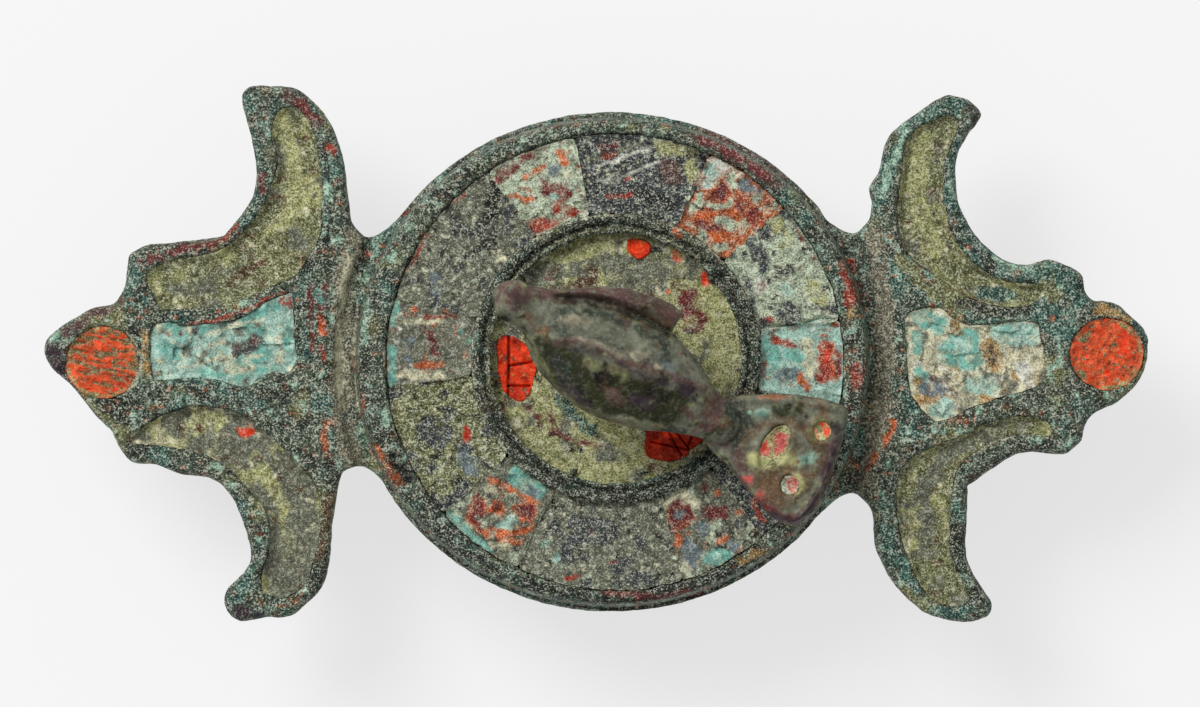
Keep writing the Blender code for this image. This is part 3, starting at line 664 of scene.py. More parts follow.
# Upward part of the normal between which strokes fade in
UPWARD = (0.1, 0.4)
ARC_STEP = 5


def painted(solid, ground, mottles, strokes, seed, softness=STROKE_SOFTNESS):
    """Each point's tone: the ground, then each mottle (tone, period, cover) where its noise is highest, then,
    where the surface looks up, each stroke (tone, radius, points) in pixels with an uneven, crumbled edge."""
    points = solid[0]
    upward = smooth_step(normals_of(*solid)[:, 2], *UPWARD)
    pixels = in_photo(points)
    pixels += STROKE_SHAKE * np.stack([rough(points, SHAKE_PERIOD, seed + part) for part in (1, 2)], 1)
    crumbs = rough(points, CRUMB_PERIOD, seed + 3) * STROKE_CRUMBS
    cover = np.clip(COVER + COVER_SPREAD * rough(points, COVER_PERIOD, seed + 4), COVER_LEAST, 1) * upward
    tones = np.tile(tone_of(ground), (len(points), 1))
    for index, (name, period, part) in enumerate(mottles):
        noise = rough(points, period, seed + 5 + index)
        level = np.quantile(noise, 1 - part)
        share = np.clip((noise - level) / MOTTLE_SOFTNESS, 0, 1)[:, None]
        tones += (tone_of(name) - tones) * share
    for name, radius, *line in strokes:
        line = np.array(line, float)
        near = close_by(pixels, line, radius + softness + 2 * STROKE_CRUMBS)
        if not near.any():
            continue
        depth = radius - nearest(pixels[near], line) + crumbs[near] * min(1, radius / CRUMBLED_RADIUS)
        share = (np.clip(depth / softness + 0.5, 0, 1) * cover[near])[:, None]
        tones[near] += (tone_of(name) - tones[near]) * share
    tones[:, :3] *= np.clip(1 + SHADE * rough(points, SHADE_PERIOD, seed + 30), *SHADE_RANGE)[:, None]
    return tones


def relief(points, strokes):
    """Height to add for strokes (height, radius, points) in pixels, each a bell across its line."""
    pixels = in_photo(points)
    total = np.zeros(len(points))
    for height, radius, *line in strokes:
        total += height * np.exp(-((nearest(pixels, line) / radius) ** 2))
    return total


def arc(centre, radius, start, end):
    """Pixels along an arc, from one angle up to another, in degrees from the right and upwards."""
    turn = np.radians(np.linspace(start, end, max(2, round(abs(end - start) / ARC_STEP))))
    x = centre[0] + radius * np.cos(turn)
    return np.stack([x, centre[1] - radius * np.sin(turn)], 1).tolist()


def new_piece(name, solid, tones, material, nodes, body="brooch"):
    """A finished piece: its mesh in metres with its tones, its body and the nodes it stands for."""
    points, faces = solid
    piece = raw_object(name, points * MM, faces)
    mesh = piece.data
    colour = mesh.attributes.new("paint", "FLOAT_COLOR", "POINT")
    colour.data.foreach_set("color", np.column_stack([tones[:, :3], np.ones(len(points))]).ravel())
    feel = mesh.attributes.new("feel", "FLOAT_VECTOR", "POINT")
    feel.data.foreach_set("vector", np.column_stack([tones[:, 3:5], np.zeros(len(points))]).ravel())
    mesh.polygons.foreach_set("use_smooth", np.ones(len(faces), bool))
    mesh.set_sharp_from_angle(angle=math.radians(SHARP_ANGLE))
    mesh.materials.append(material)
    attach(piece, body)
    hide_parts(*nodes)
    return piece


# Shader expressions

class Socket:
    """A shader output; + - * with a number or another one adds a Math node."""

    def __init__(self, shading, output):
        self.shading = shading
        self.output = output

    def math(self, operation, *values):
        return self.shading.node("ShaderNodeMath", {"operation": operation}, values)

    def __add__(self, other):
        return self.math("ADD", self, other)

    def __sub__(self, other):
        return self.math("SUBTRACT", self, other)

    def __rsub__(self, other):
        return self.math("SUBTRACT", other, self)

    def __mul__(self, other):
        return self.math("MULTIPLY", self, other)

    __radd__ = __add__
    __rmul__ = __mul__

    def between(self, low, high):
        """0 below low, 1 above high and straight between them."""
        values = {"Value": self, "From Min": low, "From Max": high}
        return self.shading.node("ShaderNodeMapRange", {"clamp": True}, values)


class Shading:
    """A material's node tree under construction."""

    def __init__(self, name):
        self.material = bpy.data.materials.new(name)
        self.material.use_nodes = True
        self.tree = self.material.node_tree
        self.tree.nodes.clear()

    def node(self, kind, settings=None, values=(), output=0):
        """Adds a node: its settings are set first, then its sockets' values or links, by name or by place."""
        made = self.tree.nodes.new(kind)
        for name, value in (settings or {}).items():
            setattr(made, name, value)
        pairs = values.items() if isinstance(values, dict) else enumerate(values)
        for key, value in pairs:
            if isinstance(value, Socket):
                self.tree.links.new(value.output, made.inputs[key])
            else:
                made.inputs[key].default_value = value
        return Socket(self, made.outputs[output]) if made.outputs else None

    def attribute(self, name, output):
        return self.node("ShaderNodeAttribute", {"attribute_name": name}, output=output)

    def noise(self, place, scale, detail):
        values = {"Vector": place, "Scale": scale, "Detail": detail, "Roughness": NOISE_ROUGHNESS}
        return self.node("ShaderNodeTexNoise", {"noise_dimensions": "3D"}, values, output="Fac")

    def mixed(self, share, one, other):
        """One colour up to the other by a share."""
        return self.node("ShaderNodeMix", {"data_type": "RGBA"}, {0: share, 6: one, 7: other}, output=2)

    def scaled(self, colour, amount):
        """A colour times a number or a socket."""
        return self.node("ShaderNodeVectorMath", {"operation": "SCALE"}, {"Vector": colour, "Scale": amount})

    def finish(self, values):
        shader = self.node("ShaderNodeBsdfPrincipled", {}, values)
        self.node("ShaderNodeOutputMaterial", {}, {"Surface": shader})
        return self.material


# By material: share of white in its pale grains, bump in millimetres, specular level, share of pits and
# grains, and roughness where a tone has no gloss
FINISHES = {
    "patinated_bronze": (0.52, 0.12, 0.12, 1.0, 0.6),
    "horn_enamel": (0.5, 0.10, 0.08, 1.0, 0.82),
    "turquoise_glass": (0.5, 0.06, 0.3, 1.0, 0.82),
    "terminal_enamel": (0.25, 0.09, 0.15, 1.0, 0.82),
    "chequer_glass": (0.5, 0.07, 0.15, 1.0, 0.82),
    "field_glass": (0.6, 0.09, 0.12, 1.0, 0.82),
    "middle_enamel": (0.55, 0.09, 0.12, 1.0, 0.82),
    "red_enamel": (0.2, 0.05, 0.12, 1.0, 0.82),
    "dark_bronze": (0.25, 0.03, 0.12, 0.3, 0.55),
    "tail_enamel": (0.3, 0.04, 0.45, 1.0, 0.82),
    "hinge_bronze": (0.4, 0.03, 0.4, 1.0, 0.82),
}
# Share of the fine noise in pits and in grains, the levels between which each fades in, and their light
PIT_SHARE = 0.75
PIT_LEVELS = (0.41, 0.51)
PIT_LIGHT = 0.11
GRAIN_SHARE = 0.65
GRAIN_LEVELS = (0.53, 0.585)
GRAIN_LIGHT = (0.84, 0.86, 0.70, 1.0)
# The broad noise: its size in grains, and the levels and shares of its lighter and darker places
BROAD_SIZE = 3.6
BROAD_LEVELS = (0.25, 0.75)
BROAD_SPREAD = 0.5
BROAD_LEAST = 0.75
NOISE_ROUGHNESS = 0.6
GLOSS_REACH = 0.5
PIT_DULLNESS = 0.12
BUMP_GRAIN = 0.8
BUMP_LEAST = 0.2


def weathered(name, grain_size):
    """The tones that a piece's points carry, broken into dark pits and pale grains; sizes in millimetres."""
    lift, depth, specular, speck, dull = FINISHES[name]
    shading = Shading(name)
    place = shading.node("ShaderNodeTexCoord", output="Object")
    paint = shading.attribute("paint", "Color")
    feel = shading.attribute("feel", "Vector")
    grain = shading.node("ShaderNodeSeparateXYZ", {}, (feel,), output="X")
    gloss = shading.node("ShaderNodeSeparateXYZ", {}, (feel,), output="Y")
    fine = shading.noise(place, 1 / (grain_size * MM), 2.0)
    broad = shading.noise(place, 1 / (grain_size * MM * BROAD_SIZE), 3.0)
    pits = (fine * PIT_SHARE + broad * (1 - PIT_SHARE)).between(*PIT_LEVELS)
    grains = (fine * GRAIN_SHARE + broad * (1 - GRAIN_SHARE)).between(*GRAIN_LEVELS)
    dark = shading.scaled(paint, PIT_LIGHT)
    pale = shading.mixed(lift, paint, GRAIN_LIGHT)
    speckled = shading.mixed(grains, shading.mixed(pits, dark, paint), pale)
    tinted = shading.scaled(paint, broad.between(*BROAD_LEVELS) * BROAD_SPREAD + BROAD_LEAST)
    base = shading.mixed(grain * speck, tinted, speckled)
    roughness = dull - gloss * GLOSS_REACH + (1 - pits) * PIT_DULLNESS
    height = fine * (grain * BUMP_GRAIN + BUMP_LEAST)
    bump = shading.node("ShaderNodeBump", {}, {"Strength": 1.0, "Distance": depth * MM, "Height": height})
    return shading.finish({
        "Base Color": base,
        "Roughness": roughness,
        "Normal": bump,
        "Specular IOR Level": specular,
    })


# Plate

PLATE_MOTTLES = (
    ("teal", 1.3, 0.38),
    ("bronze_dark", 0.9, 0.35),
    ("olive", 1.8, 0.18),
    ("mint", 0.45, 0.14),
    ("charcoal", 0.35, 0.18),
    ("brown", 0.7, 0.1),
    ("rust", 0.3, 0.04),
)
PLATE_STROKES = (
    ("bronze_dark", 11, *arc(PHOTO_RING, 135.5, 0, 360)),
    # Painted highlight: thin cream arcs on the ring's upper and left outer side, the side facing the light
    ("cream", 0.7, *arc(PHOTO_RING, 144.5, 20, 130)),
    ("cream", 0.7, *arc(PHOTO_RING, 144.5, 160, 230)),
    # Painted shade: a near-black line round the ring's groove
    ("pit", 1.1, *arc(PHOTO_RING, 132.5, 0, 360)),
    ("olive", 0.8, *arc(PHOTO_RING, 128.5, 60, 200)),
    ("orange", 3, (674, 230), (678, 235)),
    ("mint", 3, (392, 212), (376, 246), (366, 280)),
    ("mint", 3, (366, 300), (364, 340)),
    ("teal", 9, (436, 150), (404, 190), (380, 232)),
    ("mint", 5, (470, 128), (540, 108), (600, 104)),
    ("teal", 7, (640, 112), (690, 124)),
    ("purple_brown", 11, (700, 134), (738, 150), (776, 178)),
    ("maroon", 6, (704, 138), (744, 158), (768, 176)),
    ("brick", 9, (846, 268), (854, 300)),
    ("ochre", 5, (851, 312)),
    ("brick", 7, (856, 368), (856, 382)),
    ("brick", 3.5, (353, 352), (356, 370)),
    ("brick", 3, (359, 392), (363, 414)),
    ("orange", 5, (374, 446), (380, 458)),
    ("rust", 5, (388, 468), (398, 482)),
    ("pit", 6, (394, 458), (407, 478)),
    ("brick", 4, (397, 214), (407, 213)),
    ("brick", 3, (512, 139)),
    ("brick", 3, (368, 253)),
    # Painted shade: charcoal and near-black strokes along the disc's lower rim, the side turned from the light
    ("charcoal", 14, (430, 540), (500, 584), (560, 600), (620, 604), (690, 594), (760, 560)),
    ("pit", 5, (500, 588), (560, 602), (620, 606), (690, 596)),
    ("teal", 4, (470, 574), (540, 598), (580, 604)),
    ("maroon", 3.5, (602, 590), (650, 597), (700, 592)),
    ("ochre", 4, (742, 560), (762, 552)),
    ("grey_brown", 10, (352, 236), (343, 290), (341, 355), (343, 420), (352, 464)),
    ("cream", 3.5, (349, 260), (341, 300), (339, 355), (341, 410)),
    ("maroon", 3.5, (326, 286), (321, 306)),
    ("brick", 3, (321, 318), (325, 334)),
    ("brick", 2.5, (322, 346), (325, 362)),
    ("orange", 1.8, (322, 322), (323, 336)),
    ("cream", 1.2, (357, 300), (354, 350), (358, 410)),
    ("grey_brown", 9, (874, 236), (884, 300), (886, 360), (880, 420), (866, 486)),
    ("rust", 3, (867, 468), (876, 455)),
    ("orange", 3, (884, 444), (896, 422)),
    ("teal", 8, (960, 104), (920, 118), (892, 160), (878, 210)),
    ("mint", 4, (906, 130), (888, 172), (882, 196)),
    ("purple_black", 6, (972, 108), (976, 124)),
    ("teal", 4, (958, 140), (952, 180), (966, 226), (1000, 258)),
    ("mint", 2.5, (949, 180), (952, 196)),
    ("mint", 3, (992, 256), (1040, 272)),
    ("teal", 9, (1040, 270), (1068, 276), (1078, 300)),
    ("olive", 7, (900, 260), (930, 290), (960, 300)),
    ("bronze_dark", 5, (960, 304), (1000, 312), (1030, 308)),
    ("ochre", 5, (1100, 308), (1128, 320)),
    ("olive", 6, (1136, 340), (1140, 372), (1124, 396)),
    ("teal", 6, (934, 612), (966, 612)),
    ("bronze_dark", 8, (980, 600), (958, 560), (950, 520)),
    ("teal", 6, (884, 500), (890, 550), (916, 590)),
    ("teal", 7, (250, 98), (246, 120), (256, 170), (260, 190)),
    ("purple_brown", 7, (288, 96), (302, 110), (314, 122)),
    ("maroon", 4, (300, 104), (316, 122)),
    ("brick", 4, (328, 146), (334, 150)),
    ("mint", 4, (326, 186), (330, 200)),
    ("maroon", 4, (262, 176), (264, 190)),
    ("brick", 3.5, (210, 246), (226, 236), (236, 224)),
    ("teal", 7, (132, 270), (128, 290), (142, 262)),
    ("purple_brown", 6, (120, 302), (90, 314), (66, 334)),
    ("olive", 6, (80, 398), (96, 416), (120, 440)),
    ("teal", 5, (232, 606), (250, 580), (244, 540)),
    ("purple_black", 6, (236, 612), (262, 616)),
    ("bronze_dark", 8, (316, 590), (326, 540), (334, 480)),
    ("brown", 6, (330, 500), (318, 560)),
    ("purple_black", 9, (54, 350), (58, 366)),
    ("cream", 1.1, *arc((102, 363), 38, -50, 50)),
    ("ochre", 4, (146, 334), (146, 374)),
    ("brick", 1.6, (186, 325), (215, 322), (240, 312), (262, 302)),
    ("brick", 3, (262, 302), (286, 292)),
    ("maroon", 3, (312, 288), (310, 320), (313, 354)),
    ("teal", 4, (304, 330), (306, 356)),
    ("turquoise", 5, (320, 294), (320, 298)),
    ("rust", 3, (325, 422), (325, 452)),
    ("maroon", 4, (142, 262), (176, 250), (208, 245)),
    ("cream", 1.2, (969, 455), (992, 441), (1015, 434), (1050, 435)),
)
# Crust that stands proud and hollows, as heights in millimetres and strokes in pixels
PLATE_RELIEF = (
    (0.10, 9, (704, 138), (744, 152), (776, 176)),
    (0.08, 8, (372, 252), (362, 300), (358, 350)),
    (-0.28, 7, (396, 460), (406, 478)),
    (0.09, 5, (374, 446), (388, 472)),
    (0.08, 6, (846, 272), (854, 300)),
    (-0.10, 2.5, (357, 300), (354, 350), (358, 410)),
)
BOSS = (272.5, 393)
BOSS_RADIUS = 0.75
BOSS_RISE = 0.25
BOSS_ROUND = 0.35
# Wear of the front, as shares of the erosion: period and height of each wave, and the ring's share of it
PLATE_WAVES = ((1.3, 0.6), (0.42, 0.35))
PLATE_FINE_WAVE = (0.17, 0.18)
RING_WEAR = 0.45
OUTLINE_WAVES = ((0.9, 0.6), (0.3, 0.4))
# Depths in from the outline and the disc's edge, and out from the ring cell, of rows of points along
# rounded edges
OUTLINE_ROWS = (0.05, 0.12, 0.22, 0.34)
DISC_ROWS = (0.1, *DISC_DEPTHS[2:])
CELL_ROWS = (0.05, 0.12)
RING_STEP = 0.1
# How far points keep from loops and from rows, and how far under the glass the fine and the coarse ones end
CELL_MARGIN = 0.1
LOOP_CLEARING = 0.055
ROW_CLEARING = 0.045
FINE_MARGIN = 0.05
COARSE_MARGIN = 0.25
DEPTH_STEP = 0.22
# The plate's side: outward shift and height over the back of each row
PLATE_SIDE = ((0.0, 0.9), (0.02, 0.45), (0.0, 0.14), (-0.05, 0.04), (-0.10, 0.0))
BACK_MARGIN = 0.3
BACK_FADE = 0.2
BACK_WAVE = (0.8, 0.02)
# Lugs and catch, in millimetres: softened edges, root in the plate, the lug's foot and width, and the catch
SOFT_EDGE = 0.12
SOFT_MIDDLE = 0.3
ROOT = 0.5
LUG_FOOT = 0.6
LUG_WIDTH = 1.5
LUG_STEP = 0.15
LUG_POINTS = 12
CATCH_FROM, CATCH_TO = 9.5, 14.0
CATCH_LEFT = -1.7
CATCH_WALL = 0.8
CATCH_REACH = 2.6
CATCH_LIP = 1.4
# The catch's rounded corners: outer and inner radius, the outer one's middle, and the tip of its lip
CORNER, NOOK = 0.35, 0.15
CORNER_IN, CORNER_UP = 0.10, 0.12
TIP_OUT, TIP_IN, TIP_DOWN, TIP_BEND = 0.2, 0.45, 0.1, 0.05
ARM_CELLS = (
    "horn_left_upper",
    "horn_left_lower",
    "turquoise_left",
    "terminal_left",
    "horn_right_upper",
    "horn_right_lower",
    "turquoise_right",
    "terminal_right",
)


def cell_edge(node):
    """An arm cell's edge: its inlay's own edge moved out by the gap between them."""
    loop = resampled(flat_loop(node, ARM_FLOOR + GLASS_GAP), EDGE_STEP)
    return wander(loop + outward(loop) * GLASS_GAP)


def beyond_disc(points):
    """Distance outside the disc's oval edge, measured on the line from its middle; below nought inside."""
    away = points - DISC_CENTRE
    distance = np.maximum(np.hypot(*away.T), LEAST_GAP)
    return distance - distance / np.hypot(*(away / DISC_HALF).T)


def plate_heights(points, edge_depth, cells, settings):
    """The casting's front: rounded arms with a valley round the disc, the disc's side and rim, the cells'
    floors, the grooved ring and the boss, with erosion over all that shows."""
    beyond = beyond_disc(points)
    arm = ARM_TOP - rounded_drop(edge_depth, settings.edge_round)
    arm -= NECK_DEPTH * (1 - smooth_step(beyond, NECK_FLAT, NECK_WIDTH))
    disc = np.interp(-beyond, DISC_DEPTHS, DISC_LEVELS)
    unmoved = 2 * points - wander(points)
    into_cell = RING_CELL_RADIUS - np.hypot(*(unmoved - RING_CELL_CENTRE).T)
    disc -= rounded_drop(-into_cell, settings.cell_round * 2)
    level = np.maximum(arm, disc)
    for loop in cells:
        near = close_by(points, loop, 1)
        away = nearest(points[near], loop, closed=True)
        level[near] -= rounded_drop(away, settings.cell_round)
    shift = points - on_brooch(BOSS)
    dome = ARM_TOP + BOSS_RISE - rounded_drop(BOSS_RADIUS - np.hypot(*shift.T), BOSS_ROUND)
    level = np.where(np.hypot(*shift.T) < BOSS_RADIUS, np.maximum(level, dome), level)
    period, height = PLATE_FINE_WAVE
    worn = layered(points, PLATE_WAVES, 11) + ripple(points, period, 13) * height
    level += settings.erosion * worn + relief(points, PLATE_RELIEF)
    radius = np.hypot(*(unmoved - RING_CENTRE).T)
    ring = RING_TOP - np.interp(radius, RING_STATIONS, RING_DROPS) + settings.erosion * RING_WEAR * worn
    in_disc_cell = into_cell > WALL_LEAN / 2
    level = np.where(in_disc_cell, DISC_FLOOR, level)
    on_ring = (radius < RING_RADIUS + WALL_LEAN / 2) & (radius > RING_BORE - WALL_LEAN / 2)
    level = np.where(on_ring, ring, level)
    for loop in cells:
        near = close_by(points, loop, CELL_MARGIN)
        middle = loop - outward(loop) * WALL_LEAN / 2
        level[near] = np.where(inside(points[near], middle), ARM_FLOOR, level[near])
    return level


def plate_front(settings):
    """Points and triangles of the front: pairs of loops for upright walls, rows of points along rounded
    edges, a fine honeycomb on bronze that shows and a coarse one under the glass."""
    outline = resampled(flat_loop("plate", BACK), EDGE_STEP)
    jagged = layered(outline, OUTLINE_WAVES, 21)
    outline = outline + outward(outline) * (settings.erosion * jagged)[:, None]
    cells = [cell_edge(node) for node in ARM_CELLS]
    loops = [outline]
    for loop in cells:
        loops += [loop, loop - outward(loop) * WALL_LEAN]
    rounds = (
        (RING_CELL_CENTRE, RING_CELL_RADIUS, -WALL_LEAN),
        (RING_CENTRE, RING_RADIUS, WALL_LEAN),
        (RING_CENTRE, RING_BORE, -WALL_LEAN),
    )
    for centre, radius, lean in rounds:
        loops += [wander(oval(centre, *[radius + out] * 2, EDGE_STEP)) for out in (0, lean)]
    clearing = Clearing(outline.min(0), outline.max(0))
    for loop in loops:
        clearing.add(loop, LOOP_CLEARING)
    loose = []
    rows = [oval(DISC_CENTRE, *(DISC_HALF - depth), EDGE_STEP) for depth in DISC_ROWS]
    rows += [oval(RING_CENTRE, radius, radius, RING_STEP) for radius in RING_STATIONS[2:-2]]
    rows += [oval(RING_CELL_CENTRE, *[RING_CELL_RADIUS + out] * 2, EDGE_STEP) for out in CELL_ROWS]
    rows += [outline - outward(outline) * depth for depth in OUTLINE_ROWS]
    for row in rows:
        row = clearing.free(row[inside(row, outline)])
        clearing.add(row, ROW_CLEARING)
        loose.append(row)
    low, high = outline.min(0), outline.max(0)
    fine = clearing.free(honeycomb(low, high, BRONZE_STEP, 31))
    fine = fine[inside(fine, outline)]
    hidden = under_glass(fine, cells, FINE_MARGIN)
    coarse = honeycomb(low, high, HIDDEN_STEP, 32)
    coarse = clearing.free(coarse[inside(coarse, outline)])
    coarse = coarse[under_glass(coarse, cells, COARSE_MARGIN)]
    flat, faces = triangulate(loops, np.concatenate([*loose, fine[~hidden], coarse]))
    depth = nearest(flat, resampled(outline, DEPTH_STEP, curved=False), closed=True)
    return flat, faces, plate_heights(flat, depth, cells, settings), outline


def under_glass(points, cells, margin):
    """True where a point lies in a cell, by a margin."""
    radius = np.hypot(*(points - RING_CENTRE).T)
    hidden = np.hypot(*(points - RING_CELL_CENTRE).T) < RING_CELL_RADIUS - margin
    hidden &= (radius > RING_RADIUS + margin) | (radius < RING_BORE - margin)
    for loop in cells:
        near = close_by(points, loop, 0)
        hidden[near] |= inside(points[near], loop - outward(loop) * margin)
    return hidden


def softened(start, end):
    """Rows for extruded from start to end, drawn in at both."""
    soft, part = SOFT_EDGE, SOFT_EDGE * SOFT_MIDDLE
    first = ((-soft, start), (-part, start + part), (0.0, start + soft))
    return first + ((0.0, end - soft), (-part, end - part), (-soft, end))


def lugs_and_catch():
    """Two lugs with a flat foot and the hooked catch: outlines in X and Z or Y and Z with softened edges."""
    low, high = span("hinge_axle")
    root = BACK + ROOT
    radius = HINGE[2]
    turn = np.linspace(-math.pi, -math.pi / 2 - math.asin(LUG_FOOT / radius), LUG_POINTS)
    arc_left = np.stack([HINGE[0] + radius * np.cos(turn), HINGE[2] + radius * np.sin(turn)], 1)
    arc_left[-1] = (HINGE[0] - LUG_FOOT, 0.0)
    arc_right = arc_left[::-1] * (-1, 1) + (2 * HINGE[0], 0)
    loop = np.concatenate([[(HINGE[0] - radius, root)], arc_left, arc_right, [(HINGE[0] + radius, root)]])
    solids = []
    for start, end in ((low[1], low[1] + LUG_WIDTH), (high[1] - LUG_WIDTH, high[1])):
        solids.append(extruded(resampled(loop, LUG_STEP, curved=False), softened(start, end), (0, 2, 1)))
    left, wall, reach, lip = CATCH_LEFT, CATCH_WALL, CATCH_REACH, CATCH_LIP
    hook = np.array([
        (left, root), (left, CORNER), (left + CORNER_IN, CORNER_UP), (left + CORNER, 0.0),
        (left + reach - CORNER, 0.0), (left + reach - CORNER_IN, CORNER_UP), (left + reach, CORNER),
        (left + reach, lip - NOOK), (left + reach - TIP_OUT, lip), (left + reach - TIP_IN, lip - TIP_DOWN),
        (left + reach - wall, wall + TIP_BEND), (left + wall + NOOK, wall), (left + wall, wall + NOOK),
        (left + wall, root),
    ])
    hook = resampled(hook, EDGE_STEP, curved=False)
    solids.append(extruded(hook, softened(CATCH_FROM, CATCH_TO), (1, 2, 0)))
    return solids


def plate_solid(settings):
    flat, faces, heights, outline = plate_front(settings)
    under = honeycomb(outline.min(0), outline.max(0), BACK_STEP, 33)
    under = under[inside(under, outline)]
    under = under[nearest(under, outline, closed=True) > BACK_MARGIN]
    rows = [(shift, BACK + rise) for shift, rise in PLATE_SIDE]
    front = stand(flat, faces, heights, rows, under)
    axle_low, axle_high = span("hinge_axle")
    bore = (axle_high[0] - axle_low[0]) / 2 + GLASS_GAP
    reach = axle_high[1] + 1
    start, end = (HINGE[0], -reach, HINGE[2]), (HINGE[0], reach, HINGE[2])
    hole = rod(start, end, ((0, bore), (2 * reach, bore)))
    points, faces = fused(front, lugs_and_catch(), [hole])
    behind = smooth_step(-points[:, 2], -BACK - BACK_FADE, -BACK + BACK_FADE)
    period, height = BACK_WAVE
    points += normals_of(points, faces) * (rough(points, period, 41) * height * behind)[:, None]
    points[:, 2] = np.maximum(points[:, 2], 0)
    return points, faces


# Glass and enamel: ground, mottles (tone, period, cover) and strokes in pixels, by node

